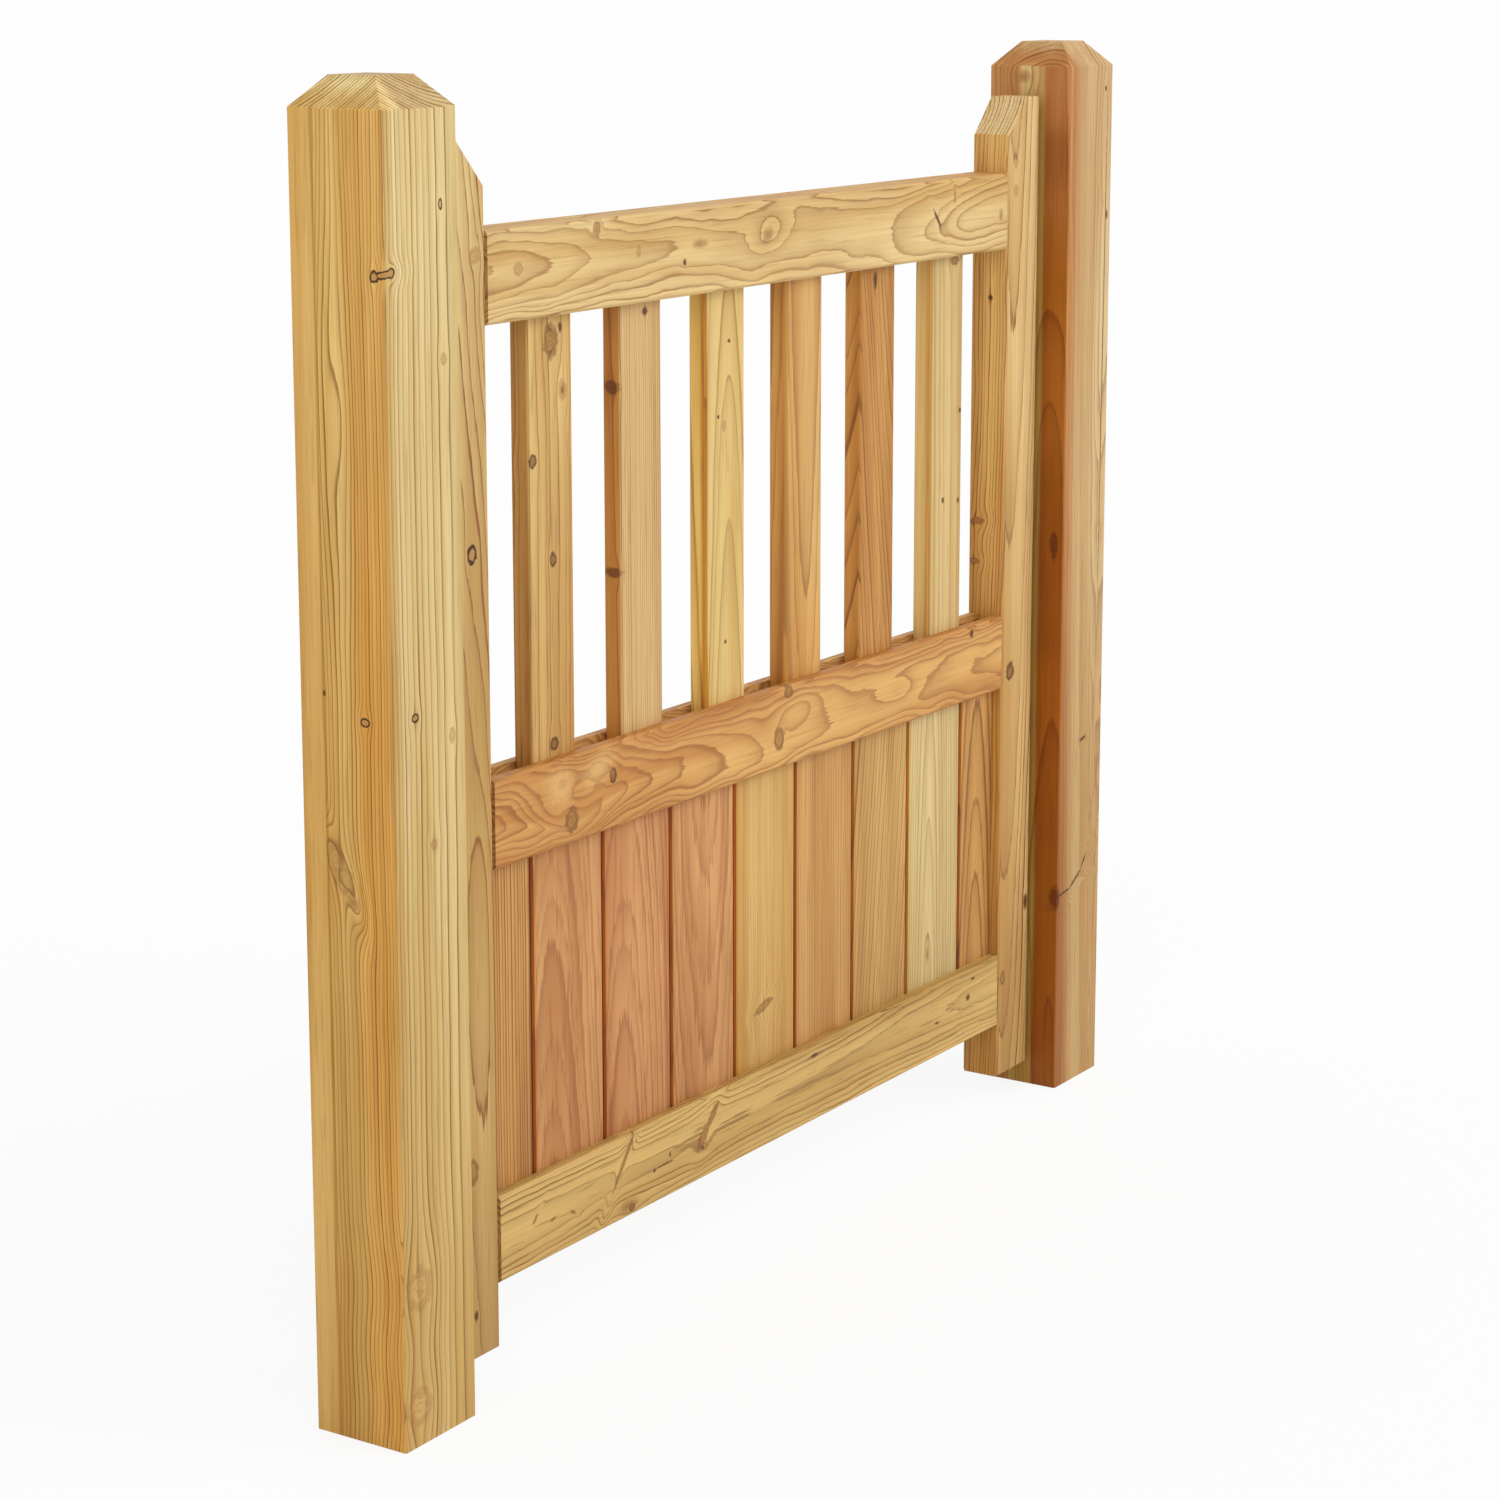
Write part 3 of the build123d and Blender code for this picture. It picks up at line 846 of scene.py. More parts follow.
@dataclass
class Posts:
    """The two square posts.

    Attributes:
        outer: Outer face of the left post, in millimetres.
        inner: Inner face of the right post, in millimetres.
        outer_skin: Depths below the outer face at which its own tone starts and is full, in millimetres.
        inner_skin: The same below the inner face.
        finish: Finish of the timber.
    """

    outer: float = -644.5
    inner: float = 544.5
    outer_skin: tuple[float, float] = (1.5, 0.3)
    inner_skin: tuple[float, float] = (1.3, 0.3)
    finish: LarchFinish = LarchFinish()

    def left_figure(self) -> Figure:
        """Figure of the left post: fine rings, a plain strip at the back and an orange band at its corner.

        Returns:
            The figure.
        """
        start, full = (self.outer + depth for depth in self.outer_skin)
        side = (0, start, full)
        front = (0, full, start)
        band = (side, (1, -4, -18))
        strip = (side, (1, 22, 27))
        return Figure(
            (229, 204, 149), (209, 174, 109), (132, 88, 32), (70, 120), 3.2,
            late=0.36, contrast=1.0, wave=1.6, ripple=0.5, seed=3.0,
            knots=(
                Knot(-644.5, 1027, 24, 6, KnotLook.RINGED, turn=4, deep=12),
                Knot(-634.5, 1028, 8, 8, KnotLook.RINGED, deep=6),
                Knot(-40, 1026, 8, 8, KnotLook.RINGED, Face.SIDE, deep=6),
                Knot(-21, 649, 8, 7, KnotLook.RINGED, Face.SIDE),
                *KnotLook.RINGED.marks((-568, 1081, 4.5, 8), (-613, 651, 8, 7)),
                Knot(14, 525, 14, 26, KnotLook.FAINT, Face.SIDE, 24),
                Knot(5, 508, 17, 26, KnotLook.FAINT, Face.SIDE, 24, rise=2),
                *KnotLook.FAINT.marks((-567, 951, 7, 9), (-563, 627, 8, 13), (-591, 536, 8, 8)),
                Knot(-5, 490, 9, 12, KnotLook.SMUDGE, Face.SIDE, 20),
                Knot(23, 670, 3, 6, KnotLook.DARK, Face.SIDE),
                Knot(4, 905, 22, 90, KnotLook.SWELL, Face.SIDE, rise=3),
                *KnotLook.SWIRL.marks((-622, 145, 31, 31), (-624, 36, 28, 27), deep=30),
            ),
            stains=(
                Stain((side,), (1.08, 0.9, 0.6)),
                Stain(band, (1.02, 0.95, 0.86)),
                Stain((*band, (2, 1060, 640)), (1.02, 0.93, 0.76)),
                Stain((side, (1, 27, 22), (1, 4, 12)), (0.94, 0.88, 0.78)),
                Stain((side, (1, 26, 24), (1, 21, 23)), (0.76, 0.66, 0.44)),
                Stain((side, (1, -43, -48), (2, 820, 960)), (0.93, 0.84, 0.74)),
                Stain(strip, (0.94, 0.89, 0.86)),
                Stain((side, (2, 640, 320)), (0.95, 0.98, 1.0)),
                Stain((front, (0, -624, -637)), (0.87, 0.76, 0.58)),
                Stain(((2, 1160, 1162),), (0.8, 0.72, 0.66)),
                # Painted light: the outer part of the top bevel is painted lighter, for the light from above
                # that falls on it.
                Stain(((2, 1160, 1162), (0, -612, -626)), (1.46, 1.58, 1.6)),
                # Painted light: lighter toward the top.
                PAINTED_TOP_LIGHT,
                # Painted shade: darker toward the ground.
                Stain(((2, 300, 0),), (0.93, 0.9, 0.86)),
            ),
            quiet=strip,
        )

    def right_figure(self) -> Figure:
        """Figure of the right post: dark heartwood at its inner corner, pale beyond.

        Returns:
            The figure.
        """
        start, full = (self.inner + depth for depth in self.inner_skin)
        side = (0, start, full)
        heart = (side, (1, -16, -22))
        corner = (0, 544.8, 546)
        return Figure(
            (219, 187, 137), (200, 159, 106), (136, 84, 34), (-80, -34), 5.5,
            contrast=0.42, lean=(-20, 14), wave=5.0, ripple=1.2, seed=8.0,
            knots=(
                *KnotLook.DARK.marks((628, 1136, 4, 6), (635, 996, 4, 10)),
                Knot(631, 850, 2, 540, KnotLook.DARK, turn=-0.4, deep=3),
                Knot(599, 402, 14, 4, KnotLook.DARK, turn=14),
                Knot(558, 229, 3.4, 32, KnotLook.DARK, turn=-83, deep=8),
                Knot(586, 239, 3.4, 36, KnotLook.DARK, turn=-58, deep=8),
                Knot(606, 256, 3.0, 24, KnotLook.DARK, turn=-38, deep=8),
                Knot(-47, 226, 13, 24, KnotLook.HEART, Face.SIDE, deep=5),
                Knot(-38, 632, 9, 28, KnotLook.HEART, Face.SIDE, rise=3),
                *KnotLook.SWELL.marks(
                    (-42, 226, 40, 60), (-30, 760, 40, 200), face=Face.SIDE, deep=24, rise=3
                ),
                Knot(640, 430, 50, 260, KnotLook.SWELL, deep=90, rise=5),
                Knot(640, 860, 60, 200, KnotLook.SWELL, deep=90, rise=-4),
                Knot(621, 306, 6, 12, KnotLook.FAINT),
                Knot(8, 1150, 20, 12, KnotLook.SMUDGE, Face.SIDE),
            ),
            stains=(
                Stain(((0, 586, 556),), (0.89, 0.72, 0.6)),
                Stain(((0, 568, 551), corner), (0.93, 0.73, 0.52)),
                Stain(((0, 586, 552), corner, (2, 720, 200)), (0.8, 0.72, 0.56)),
                Stain((side,), (1.15, 1.32, 1.26)),
                # Painted shade: the inner face in the gap beside the stile, below its top, is painted darker
                # and olive, the colour of the shade there.
                Stain((side, (1, -22, -16), (1, 17, 9), (2, 1140, 1110)), (0.9, 0.95, 0.62)),
                Stain((side, (1, 9, 17)), (0.8, 0.56, 0.46)),
                Stain(heart, (0.8, 0.5, 0.4)),
                Stain((*heart, (2, 1140, 900)), (0.72, 0.56, 0.1)),
                Stain((*heart, (2, 1000, 1060), (2, 1110, 1075)), (0.8, 0.72, 0.62)),
                Stain((*heart, (2, 690, 770), (2, 930, 840)), (1.18, 1.28, 2.2)),
                Stain((*heart, (2, 520, 480), (2, 300, 380)), (1.16, 1.2, 1.2)),
                # Painted light: lighter toward the top.
                PAINTED_TOP_LIGHT,
                # Painted shade: darker toward the ground.
                Stain(((2, 650, 200),), (0.88, 0.82, 0.74)),
            ),
        )

    def build(self) -> None:
        """Dress both posts."""
        dress("left_post", self.finish.material("left_post", self.left_figure()))
        dress("right_post", self.finish.material("right_post", self.right_figure()))


@dataclass
class LeafFrame:
    """The leaf's stiles, rails and tenon wedges.

    Attributes:
        inner_left: Left end of the rails between the stiles, in millimetres.
        ease: Width of the eased shoulder at a rail's end, in millimetres.
        ease_edge: How far outside and inside it the end grain's tone starts and is full, in millimetres.
        end_tint: Tone of the end grain.
        finish: Finish of the timber.
        wedge_finish: Finish of the wedges.
    """

    inner_left: float = -466.5
    ease: float = 2.6
    ease_edge: tuple[float, float] = (0.6, 0.4)
    end_tint: Triple = (0.5, 0.4, 0.26)
    finish: LarchFinish = LarchFinish()
    wedge_finish: WedgeFinish = WedgeFinish()

    def end_grain(self) -> Stain:
        """The rough dark end grain of a rail's eased left shoulder."""
        edge = self.inner_left + self.ease
        return Stain(((0, edge + self.ease_edge[0], edge - self.ease_edge[1]),), self.end_tint)

    def figures(self) -> dict[str, Figure]:
        """Figures of the stiles and rails.

        Returns:
            The figures, by node.
        """
        inner = (0, 466.0, 464.8)
        stile = Figure(
            (220, 188, 128), (196, 156, 94), (140, 84, 38), (-3, 30), 4.6,
            late=0.28, contrast=1.35, lean=(-43, 0), bow=(-250, -26), wave=6.0, ripple=1.0,
            flame=0.12, seed=11.0,
            knots=(
                Knot(-492, 770, 11, 14, KnotLook.RINGED),
                Knot(-482, 1030, 12, 13, KnotLook.FAINT),
                Knot(-503, 209, 12, 20, KnotLook.SOUND),
                Knot(-502, 72, 6, 9, KnotLook.DARK),
                Knot(-488, 424, 26, 240, KnotLook.SWELL, rise=5),
            ),
            # Painted light and shade: lighter toward the top, darker toward the ground.
            stains=(PAINTED_TOP_LIGHT, PAINTED_GROUND_SHADE),
        )
        return {
            "left_stile": stile,
            "right_stile": replace(
                stile, pale=(229, 194, 136), warm=(205, 160, 98), pith=(-22, 62), spacing=4.4,
                lean=(3, -20), bow=(0, 0), wave=4.0, ripple=0.9, seed=14.0,
                knots=(
                    Knot(482, 497, 14, 17, KnotLook.TIGHT),
                    Knot(525, 222, 9, 17, KnotLook.DARK),
                    Knot(2, 914, 5, 6, KnotLook.DARK, Face.SIDE),
                    Knot(474, 144, 9, 14, KnotLook.SOUND),
                    Knot(19, 621, 13, 6, KnotLook.SOUND, Face.SIDE),
                    *KnotLook.FAINT.marks((481, 1061, 8, 11), (481, 1030, 8, 11)),
                    Knot(16, 666, 17, 7, KnotLook.RESIN, Face.SIDE, 8),
                ),
                stains=(
                    Stain((inner,), (1.03, 0.87, 0.57)),
                    Stain((inner, (1, 4, 20)), (0.86, 0.8, 0.74)),
                    # Painted light and shade: lighter toward the top, darker toward the ground.
                    PAINTED_TOP_LIGHT,
                    PAINTED_GROUND_SHADE,
                ),
            ),
            "top_rail": Figure(
                (234, 204, 148), (216, 177, 115), (150, 94, 38), (4, 26), 4.4, Grain.LEVEL,
                late=0.36, contrast=0.8, shade=0.4, lean=(-6, 0), bow=(40, 70), wave=8.0, ripple=2.4,
                cells=(12.0, 7.0), flame=0.14, seed=17.0,
                knots=(
                    Knot(-300, 1042, 11, 13, KnotLook.SMUDGE, rise=5),
                    Knot(-16, 1016, 17, 13, KnotLook.SMUDGE, turn=20),
                    *KnotLook.SMUDGE.marks((-134, 1016, 22, 9), (448, 1006, 9, 11)),
                    *KnotLook.FAINT.marks((-420, 1014, 12, 10), (-235, 1016, 6, 9)),
                    Knot(-10, 1022, 64, 36, KnotLook.SWELL, turn=10, rise=-6),
                    Knot(390, 1006, 220, 46, KnotLook.SWELL, turn=6, rise=13),
                    Knot(312, 1010, 4, 24, KnotLook.DARK, turn=40),
                    *KnotLook.DARK.marks((348, 1033, 2, 15), (-160, 1000, 5, 6)),
                ),
                stains=(
                    self.end_grain(),
                    Stain(((2, 1048.6, 1049.8),), (0.94, 0.84, 0.72)),
                    Stain(((0, 180, 300), (2, 1018, 1042)), (0.95, 0.87, 0.75)),
                ),
            ),
            "middle_rail": Figure(
                (227, 178, 110), (201, 141, 78), (146, 82, 34), (-6, 34), 4.2, Grain.LEVEL,
                late=0.58, contrast=0.58, shade=0.44, lean=(-4, 0), bow=(180, 110), wave=11.0, ripple=3.0,
                cells=(18.0, 9.0), flame=0.14, seed=21.0,
                knots=(
                    Knot(-282, 531, 9, 13, KnotLook.TIGHT),
                    # Painted sheen: two pale shimmering patches beside the knots.
                    Knot(-306, 542, 50, 28, KnotLook.PAINTED_SHEEN, turn=20, rise=5),
                    Knot(-366, 535, 40, 34, KnotLook.PAINTED_SHEEN, turn=-20, rise=5),
                    *KnotLook.SOUND.marks((-348, 502, 17, 20), (5, 511, 15, 20), rise=5),
                    Knot(23, 556, 14, 11, KnotLook.SOUND),
                    Knot(394, 554, 8, 9, KnotLook.DARK),
                    Knot(40, 534, 70, 36, KnotLook.SWELL, rise=6),
                    Knot(240, 520, 80, 26, KnotLook.SWELL, rise=-5),
                ),
                stains=(self.end_grain(),),
            ),
            "bottom_rail": Figure(
                (217, 181, 115), (191, 150, 86), (132, 92, 40), (4, 30), 3.1, Grain.LEVEL,
                late=0.36, contrast=1.0, lean=(14, 0), bow=(-60, 16), wave=4.4, ripple=1.6,
                flame=0.3, fleck=0.45, seed=24.0,
                knots=(
                    Knot(-117, 151, 8, 28, KnotLook.RESIN, turn=-42),
                    Knot(-133, 134, 11, 24, KnotLook.RESIN, turn=-40),
                    Knot(-268, 150, 4.5, 54, KnotLook.RESIN, turn=-36, deep=12),
                    Knot(-411, 136, 10, 3, KnotLook.RESIN, turn=46),
                    Knot(-384, 127, 7, 3, KnotLook.RESIN, turn=12),
                    Knot(-352, 124, 9, 3, KnotLook.RESIN, turn=-30),
                    Knot(-203, 126, 30, 1.6, KnotLook.DARK, deep=6),
                    *KnotLook.DARK.marks(
                        (-191, 133, 3, 6), (-218, 125, 5, 4), (-134, 123, 5, 4), (74, 162, 11, 4),
                        (327, 130, 8, 3), (395, 142, 8, 7), (406, 161, 9, 3),
                    ),
                    Knot(-256, 99, 8, 6, KnotLook.TIGHT),
                    Knot(-262, 103, 28, 13, KnotLook.SMUDGE),
                ),
                stains=(self.end_grain(),),
            ),
        }

    def build(self) -> None:
        """Dress the stiles, the rails and the wedges."""
        for name, figure in self.figures().items():
            dress(name, self.finish.material(name, figure))
        for seed, name in enumerate(("left_tenon_wedges", "right_tenon_wedges")):
            dress(name, self.wedge_finish.material(f"{name}_oak", float(seed)))


@dataclass
class SlatPanel:
    """The six upright slats.

    Attributes:
        finish: Finish of the timber.
        skin: Depths below a narrow side at which its tone starts and is full, in millimetres.
        side_tints: Tone of each slat's narrow sides, as a share of its front.
    """

    finish: LarchFinish = LarchFinish()
    skin: tuple[float, float] = (1.2, 0.2)
    side_tints: tuple[Triple, ...] = (
        (0.76, 0.58, 0.38),
        (0.88, 0.57, 0.24),
        (1.19, 1.12, 0.82),
        (1.01, 0.87, 0.75),
        (1.0, 0.88, 0.65),
        (1.12, 1.02, 0.84),
    )

    def figures(self) -> tuple[Figure, ...]:
        """Figures of the slats.

        Returns:
            The figures, from left to right.
        """
        return (
            Figure(
                (228, 192, 128), (204, 158, 94), (126, 80, 34), (-40, 16), 8.0,
                late=0.2, contrast=0.95, lean=(10, 0), wave=2.6, fleck=0.3, seed=31.0,
                knots=(
                    Knot(-356, 944, 18, 26, KnotLook.SOUND, rise=3),
                    *KnotLook.DARK.marks((-342, 955, 5, 9), (-339, 898, 5, 8)),
                    Knot(-339, 898, 10, 17, KnotLook.FAINT),
                    *KnotLook.TIGHT.marks((-385, 838, 9, 11), (-356, 745, 8, 11), (-357, 574, 11, 10)),
                ),
                stains=(
                    Stain(((0, -336, -328),), (0.96, 0.84, 0.7)),
                    # Painted shade: darker toward the bottom, for the light that falls from above.
                    Stain(((2, 700, 570),), (0.96, 0.9, 0.82)),
                ),
            ),
            Figure(
                (226, 190, 136), (208, 168, 114), (146, 96, 48), (-110, 8), 3.3,
                contrast=0.78, lean=(-3, 0), wave=0.8, ripple=0.2, fleck=0.25, seed=34.0,
                knots=(
                    Knot(-208, 958, 9, 8, KnotLook.DARK),
                    *KnotLook.HEART.marks((3, 890, 15, 11), (3, 716, 16, 9), face=Face.SIDE, deep=9),
                ),
            ),
            Figure(
                (232, 202, 136), (214, 174, 98), (156, 104, 38), (6, 26), 7.6,
                contrast=0.6, lean=(2, 44), wave=1.8, seed=37.0,
                knots=(
                    *KnotLook.DARK.marks((-66, 917, 5, 4), (-85, 845, 4, 4), (-73, 622, 4, 4)),
                    Knot(-75, 835, 7, 9, KnotLook.FAINT),
                ),
                stains=(Stain(((0, -102.6, -105.4), (1, 2, -3)), (0.7, 0.46, 0.16)),),
            ),
            Figure(
                (228, 182, 116), (208, 154, 84), (142, 88, 36), (4, 26), 9.0,
                late=0.46, contrast=0.6, lean=(-4, -34), wave=2.4, flame=0.12, seed=41.0,
                # The second stain is painted shade, darker toward the bottom, for the light that falls from
                # above.
                stains=(Stain(((0, 44, 37),), (0.92, 0.92, 0.8)), Stain(((2, 720, 570),), (0.97, 0.9, 0.8))),
            ),
            Figure(
                (218, 165, 97), (194, 136, 69), (128, 72, 30), (70, 40), 6.0,
                contrast=0.85, lean=(-90, -60), wave=2.6, seed=44.0,
                knots=(Knot(207, 954, 7, 18, KnotLook.DARK),),
            ),
            Figure(
                (226, 198, 142), (210, 175, 115), (160, 112, 58), (30, 20), 7.6,
                late=0.26, contrast=0.6, lean=(-6, 0), wave=1.8, seed=47.0,
                knots=(
                    Knot(371, 962, 15, 8, KnotLook.SOUND),
                    *KnotLook.DARK.marks((385, 800, 6, 5), (350, 706, 5, 6), (383, 702, 4, 6)),
                ),
                stains=(Stain(((0, 327, 323), (1, 2, -5)), (0.94, 0.8, 0.56)),),
            ),
        )

    def build(self) -> None:
        """Dress the slats, each with the tone of its narrow sides."""
        for number, (figure, tint) in enumerate(zip(self.figures(), self.side_tints), start=1):
            name = f"slat_{number}"
            low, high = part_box(name)
            left, right = low.x / MM, high.x / MM
            start, full = self.skin
            sides = ((0, left + start, left + full), (0, right - start, right - full))
            stains = figure.stains + tuple(Stain((side,), tint) for side in sides)
            dress(name, self.finish.material(name, replace(figure, stains=stains)))


@dataclass
class BoardPanel:
    """The nine tongued boards.

    Attributes:
        finish: Finish of the timber.
        tongue: Length of a tongue, in millimetres.
        vee: Width of the eased edge at a joint, in millimetres.
        vee_edge: How far outside and inside that edge its tone starts and is full, in millimetres.
        joint_tint: Tone of the eased edges at the joints.
        warm_tint: Tone of the warmer wood beside them.
        warm_reach: Distance from the joint at which that wood starts, in millimetres.
    """

    finish: LarchFinish = LarchFinish()
    tongue: float = 8.0
    vee: float = 2.0
    vee_edge: tuple[float, float] = (0.4, 0.6)
    joint_tint: Triple = (0.66, 0.37, 0.02)
    warm_tint: Triple = (0.95, 0.83, 0.62)
    warm_reach: float = 8.0

    def figures(self) -> tuple[Figure, ...]:
        """Figures of the boards.

        Returns:
            The figures, from left to right.
        """
        salmon = Figure(
            (220, 165, 113), (199, 139, 89), (150, 84, 40), (-30, 36), 6.0,
            late=0.56, contrast=0.5, lean=(2, 95), wave=4.6, flame=0.9, fleck=0.4, seed=54.0,
        )
        return (
            Figure(
                (220, 165, 100), (195, 136, 76), (110, 62, 22), (-120, 6), 4.6,
                late=0.4, contrast=1.0, shade=0.45, wave=0.9, ripple=0.25, seed=52.4,
            ),
            salmon,
            replace(
                salmon, pale=(216, 158, 108), warm=(195, 133, 85), pith=(-26, 38), spacing=5.4,
                contrast=0.54, lean=(4, 80), wave=6.0, seed=57.0,
            ),
            replace(salmon, pith=(2, 40), spacing=6.4, contrast=0.48, lean=(-6, -70), wave=6.0, seed=61.0),
            Figure(
                (229, 188, 120), (211, 164, 93), (150, 100, 44), (-100, 12), 3.0,
                late=0.36, contrast=0.6, lean=(5, 0), wave=1.2, ripple=0.3, seed=64.0,
                knots=(Knot(-4, 233, 29, 8, KnotLook.SOUND, turn=14, deep=12),),
                stains=(Stain(((0, -44, -54),), (1.0, 0.88, 0.62)),),
            ),
            Figure(
                (220, 172, 109), (204, 150, 88), (154, 100, 52), (90, 14), 4.4,
                late=0.4, contrast=0.55, wave=1.4, ripple=0.3, fray=0.9, seed=67.0,
            ),
            Figure(
                (222, 178, 113), (200, 154, 91), (138, 90, 44), (-90, 16), 6.4,
                late=0.26, contrast=0.95, lean=(110, 0), fray=0.1, seed=71.0,
            ),
            Figure(
                (229, 206, 154), (213, 184, 127), (146, 108, 58), (-14, 22), 3.6,
                late=0.26, contrast=0.75, lean=(2, 26), wave=1.0, seed=74.0,
                knots=(Knot(326, 206, 6, 15, KnotLook.SMUDGE),),
            ),
            Figure(
                (221, 168, 101), (199, 144, 80), (112, 64, 28), (-6, 28), 6.4,
                late=0.46, contrast=0.72, lean=(1, 56), wave=1.6, flame=0.2, seed=77.0,
            ),
        )

    def build(self) -> None:
        """Dress the boards, with painted shade toward the ground and dark joints between them."""
        figures = self.figures()
        for number, figure in enumerate(figures, start=1):
            name = f"board_{number}"
            low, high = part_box(name)
            left = low.x / MM
            right = high.x / MM - (self.tongue if number < len(figures) else 0.0)
            start, full = self.vee_edge
            joints = (
                Stain(((0, left + self.warm_reach, left + self.vee),), self.warm_tint),
                Stain(((0, left + self.vee + start, left + self.vee - full),), self.joint_tint),
                Stain(((0, right - self.vee - start, right - self.vee + full),), self.joint_tint),
            )
            # Painted shade: the boards are darker toward the ground.
            dress(name, self.finish.material(name, replace(figure, stains=(*figure.stains, PAINTED_GROUND_SHADE, *joints))))


@dataclass
class Screws:
    """Screws with low round heads and a cross recess, in metres.

    Attributes:
        head: Radius of the head.
        dome: Height of the head above the plate.
        rounding: Outline of the head, in shares of its radius and height.
        neck: Depth at which the shank starts.
        shank: Radius of the shank.
        length: Length below the head.
        point: Length of the point.
        recess: Reach of the cross from the middle.
        slot: Width of each slot of the cross.
        depth: Depth of the cross.
        sides: Sides of the round.
        turn: Turn of a cross against the one before, in radians.
        weld: Distance at which points become one.
    """

    head: float = 0.0041
    dome: float = 0.0007
    rounding: tuple[tuple[float, float], ...] = ((0.0, 1.0), (0.5, 0.88), (0.8, 0.55), (1.0, 0.1), (1.0, 0.0))
    neck: float = 0.0005
    shank: float = 0.0018
    length: float = 0.0245
    point: float = 0.004
    recess: float = 0.0023
    slot: float = 0.0009
    depth: float = 0.0008
    sides: int = 24
    turn: float = 0.7
    weld: float = 1e-6

    def mesh(self) -> bpy.types.Mesh:
        """Make one screw with its head's seat at the origin and its point down.

        Returns:
            The mesh.
        """
        profile = [(self.head * out, self.dome * up) for out, up in self.rounding]
        profile += [(self.shank, -self.neck), (self.shank, self.point - self.length), (0.0, -self.length)]
        body = bmesh.new()
        edge = [body.verts.new((radius, 0.0, height)) for radius, height in profile]
        lines = [body.edges.new(pair) for pair in zip(edge, edge[1:])]
        round_up = {"axis": (0, 0, 1), "cent": (0, 0, 0), "angle": 2 * math.pi, "steps": self.sides}
        bmesh.ops.spin(body, geom=edge + lines, use_merge=True, **round_up)
        bmesh.ops.remove_doubles(body, verts=body.verts, dist=self.weld)
        bmesh.ops.recalc_face_normals(body, faces=body.faces)
        screw = solid("screw_blank", body)
        cross = bmesh.new()
        for reach, width in ((self.recess, self.slot / 2), (self.slot / 2, self.recess)):
            scale = Matrix.Diagonal((2 * reach, 2 * width, 2 * self.depth, 1.0))
            bmesh.ops.create_cube(cross, size=1.0, matrix=Matrix.Translation((0, 0, self.dome)) @ scale)
        tool = solid("cross_punch", cross)
        cut = screw.modifiers.new("cross", "BOOLEAN")
        cut.operation = "DIFFERENCE"
        cut.solver = "EXACT"
        cut.use_self = True
        cut.object = tool
        made = bpy.data.meshes.new_from_object(screw.evaluated_get(bpy.context.evaluated_depsgraph_get()))
        for blank in (screw, tool):
            bpy.data.objects.remove(blank)
        return made

    def group(
        self, node: str, outward: Triple, seats: list[Triple], body: str, material: bpy.types.Material
    ) -> None:
        """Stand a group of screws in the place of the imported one.

        Args:
            node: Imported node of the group.
            outward: Direction that the heads face.
            seats: Middle of each head's seat.
            body: Body that the group rides on.
            material: Finish of the screws.
        """
        one = self.mesh()
        shape = bmesh.new()
        face = Vector((0, 0, 1)).rotation_difference(Vector(outward)).to_matrix().to_4x4()
        for number, seat in enumerate(seats):
            first = len(shape.verts)
            shape.from_mesh(one)
            shape.verts.ensure_lookup_table()
            stand = Matrix.Translation(seat) @ face @ Matrix.Rotation(self.turn * number, 4, "Z")
            bmesh.ops.transform(shape, matrix=stand, verts=shape.verts[first:])
        made = solid(f"{node}_turned", shape)
        bpy.data.meshes.remove(one)
        made.data.materials.append(material)
        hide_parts(node)
        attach(made, body)
        log.info("%s built with %d screws", made.name, len(seats))


@dataclass
class Hinges:
    """The two butt hinges and their screws, in metres.

    Attributes:
        middles: Heights of the hinges.
        plate: Thickness of a plate.
        rows: Heights of the screws from the hinge's middle.
        column: Middle of the screws' columns through the depth.
        stagger: Step of the screws to each side of it.
        post_face: Face of the left post.
        stile_face: Outer edge of the left stile.
        finish: Finish of the steel.
    """

    middles: tuple[float, float] = (0.255, 0.886)
    plate: float = 0.0025
    rows: tuple[float, ...] = (-0.0375, -0.0125, 0.0125, 0.0375)
    column: float = 0.010525
    stagger: float = 0.006
    post_face: float = -0.5445
    stile_face: float = -0.5345
    finish: SteelFinish = SteelFinish()

    def seats(self, face: float) -> list[Triple]:
        """Screw places on one side of both hinges.

        Args:
            face: Outer face of the plates.

        Returns:
            The middle of each screw's seat.
        """
        return [
            (face, self.column + (self.stagger if row % 2 else -self.stagger), middle + step)
            for middle in self.middles
            for row, step in enumerate(self.rows)
        ]

    def build(self, screws: Screws, steel: bpy.types.Material) -> None:
        """Dress the hinges and stand their screws in place.

        Args:
            screws: The screws' shape.
            steel: Finish of the screws.
        """
        zinc = self.finish.material("hinge_zinc", 2.0)
        for place in ("lower", "upper"):
            for part in ("post_leaf", "gate_leaf", "pin"):
                dress(f"{place}_hinge_{part}", zinc)
        screws.group("post_hinge_screws", (1, 0, 0), self.seats(self.post_face + self.plate), "posts", steel)
        screws.group("gate_hinge_screws", (-1, 0, 0), self.seats(self.stile_face - self.plate), "leaf", steel)


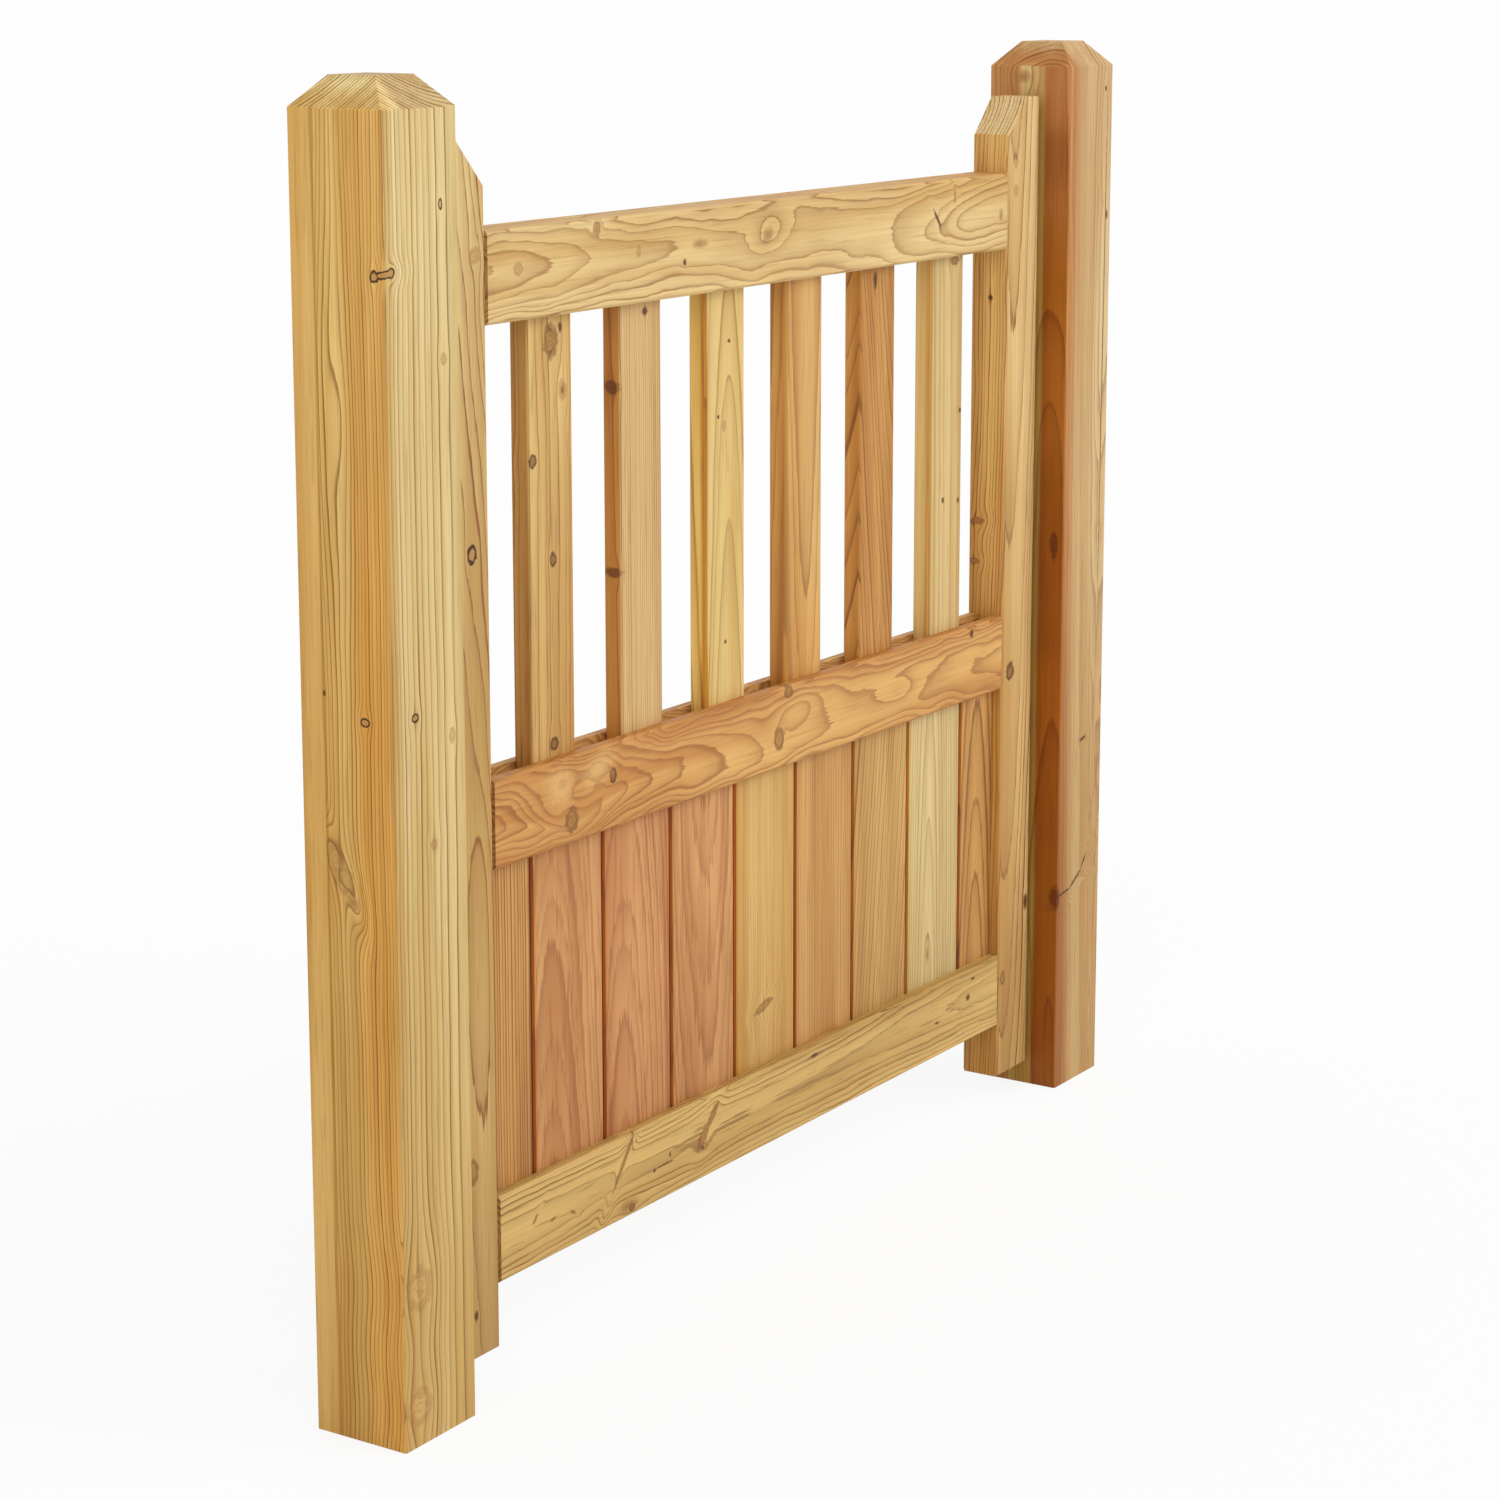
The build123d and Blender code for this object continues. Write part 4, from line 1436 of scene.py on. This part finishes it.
@dataclass
class BoltSet:
    """The sliding bolt, its plate, its keep and their screws, in metres.

    Attributes:
        axis_y: Depth of the bolt's axis.
        axis_z: Height of the bolt's axis.
        plate_face: Outer face of the bolt's plate.
        plate_ends: Screw columns of the plate.
        plate_rise: Screws' step above and below the axis on the plate.
        keep_face: Outer face of the keep.
        keep_rise: Screws' step above and below the axis on the keep.
        finish: Finish of the steel.
    """

    axis_y: float = 0.0345
    axis_z: float = 0.521
    plate_face: float = 0.0285
    plate_ends: tuple[float, float] = (0.4265, 0.5175)
    plate_rise: float = 0.009
    keep_face: float = 0.542
    keep_rise: float = 0.021
    finish: SteelFinish = SteelFinish(roughness=0.36)

    def build(self, screws: Screws, steel: bpy.types.Material) -> None:
        """Dress the bolt's parts and stand their screws in place.

        Args:
            screws: The screws' shape.
            steel: Finish of the screws.
        """
        zinc = self.finish.material("bolt_zinc", 5.0)
        for name in ("bolt_plate", "sliding_bolt", "bolt_keep"):
            dress(name, zinc)
        low, high = self.axis_z - self.plate_rise, self.axis_z + self.plate_rise
        plate = [(end, self.plate_face, height) for end in self.plate_ends for height in (low, high)]
        steps = (-self.keep_rise, self.keep_rise)
        keep = [(self.keep_face, self.axis_y, self.axis_z + step) for step in steps]
        screws.group("bolt_plate_screws", (0, 1, 0), plate, "leaf", steel)
        screws.group("keep_screws", (-1, 0, 0), keep, "posts", steel)


@dataclass
class Studio:
    """White floor, soft light and the camera.

    Attributes:
        floor_half: Half of the floor's width.
        floor_drop: Depth of the floor below the posts' feet.
        floor_tone: Colour of the floor.
        floor_glow: Share of plain white in what the camera sees of the floor.
        sky: Brightness of the white surroundings as light.
        focal: Focal length, in picture widths.
        position: Place of the camera.
        yaw: Direction of view from +X toward +Y, in degrees.
        pitch: Look downward, in degrees.
        shift: Shift of the lens to the side and upward.
        lamps: Direction toward each lamp with its strength.
        softness: Spread of each lamp, in degrees.
    """

    floor_half: float = 150.0
    floor_drop: float = 0.0005
    floor_tone: Colour = (0.92, 0.92, 0.92, 1.0)
    floor_glow: float = 0.88
    sky: float = 0.66
    focal: float = 3522.2 / IMAGE_SIDE
    position: Triple = (-2.8942, -1.8748, 1.2954)
    yaw: float = 33.026
    pitch: float = 10.581
    shift: tuple[float, float] = (-0.00326, -0.1)
    lamps: tuple[tuple[Triple, float], ...] = (((0.45, -0.8, 0.6), 1.1), ((-0.8, -0.4, 0.7), 0.55))
    softness: float = 40.0

    def build(self) -> None:
        """Make the floor, the surroundings, the lamps and the camera."""
        self.floor()
        self.surroundings()
        for number, (toward, strength) in enumerate(self.lamps, start=1):
            self.lamp(f"lamp_{number}", toward, strength)
        self.camera()

    @staticmethod
    def seen(sheet: Sheet) -> Signal:
        """A value that is 1 for what the camera, a mirror or glass sees.

        Args:
            sheet: Sheet to add it to.

        Returns:
            The value.
        """
        path = sheet.node("ShaderNodeLightPath").outputs
        direct = Signal(sheet, path["Is Camera Ray"])
        glossy = Signal(sheet, path["Is Glossy Ray"])
        through = Signal(sheet, path["Is Transmission Ray"])
        return direct.most(glossy).most(through)

    def floor(self) -> None:
        """Lay a wide white floor that keeps a soft shadow."""
        shape = bmesh.new()
        bmesh.ops.create_grid(shape, x_segments=1, y_segments=1, size=self.floor_half)
        floor = solid("studio_floor", shape)
        floor.location.z = -self.floor_drop
        sheet = Sheet(bpy.data.materials.new("studio_white"))
        share = self.seen(sheet) * self.floor_glow
        matt = sheet.node("ShaderNodeBsdfDiffuse", None, {"Color": self.floor_tone}).outputs[0]
        white = sheet.node("ShaderNodeEmission", None, {"Color": WHITE, "Strength": 1.0}).outputs[0]
        both = sheet.node("ShaderNodeMixShader", None, {0: share, 1: matt, 2: white}).outputs[0]
        sheet.node("ShaderNodeOutputMaterial", None, {"Surface": both})
        floor.data.materials.append(sheet.owner)

    def surroundings(self) -> None:
        """Surround the gate with white that the camera sees as white and that lights more softly."""
        sheet = Sheet(bpy.data.worlds.new("studio_surroundings"))
        light, white = (
            sheet.node("ShaderNodeBackground", None, {"Color": WHITE, "Strength": strength}).outputs[0]
            for strength in (self.sky, 1.0)
        )
        both = sheet.node("ShaderNodeMixShader", None, {0: self.seen(sheet), 1: light, 2: white}).outputs[0]
        sheet.node("ShaderNodeOutputWorld", None, {"Surface": both})
        bpy.context.scene.world = sheet.owner

    def lamp(self, name: str, toward: Triple, strength: float) -> None:
        """Hang a wide soft lamp far away.

        Args:
            name: Name of the lamp.
            toward: Direction from the gate to the lamp.
            strength: Strength of its light.
        """
        data = bpy.data.lights.new(name, "SUN")
        data.energy = strength
        data.angle = math.radians(self.softness)
        lamp = link(name, data)
        lamp.rotation_mode = "QUATERNION"
        lamp.rotation_quaternion = Vector(toward).to_track_quat("Z", "Y")

    def camera(self) -> None:
        """Place the camera at the photograph's viewing angle."""
        data = bpy.data.cameras.new("studio_camera")
        data.lens = self.focal * data.sensor_width
        data.shift_x, data.shift_y = self.shift
        data.clip_end = 4 * self.floor_half
        camera = link("studio_camera", data)
        yaw, pitch = math.radians(self.yaw), math.radians(self.pitch)
        look = Vector((math.cos(yaw) * math.cos(pitch), math.sin(yaw) * math.cos(pitch), -math.sin(pitch)))
        camera.location = self.position
        camera.rotation_mode = "QUATERNION"
        camera.rotation_quaternion = look.to_track_quat("-Z", "Y")
        bpy.context.scene.camera = camera


def main() -> None:
    """Dress the gate piece by piece and set up the studio round it."""
    logging.basicConfig(level=logging.INFO, format="%(message)s")
    bpy.context.scene.view_settings.view_transform = "Standard"
    Posts().build()
    LeafFrame().build()
    SlatPanel().build()
    BoardPanel().build()
    screws = Screws()
    steel = SteelFinish(roughness=0.3).material("screw_zinc", 9.0)
    Hinges().build(screws, steel)
    BoltSet().build(screws, steel)
    Studio().build()


if __name__ == "__main__":
    main()
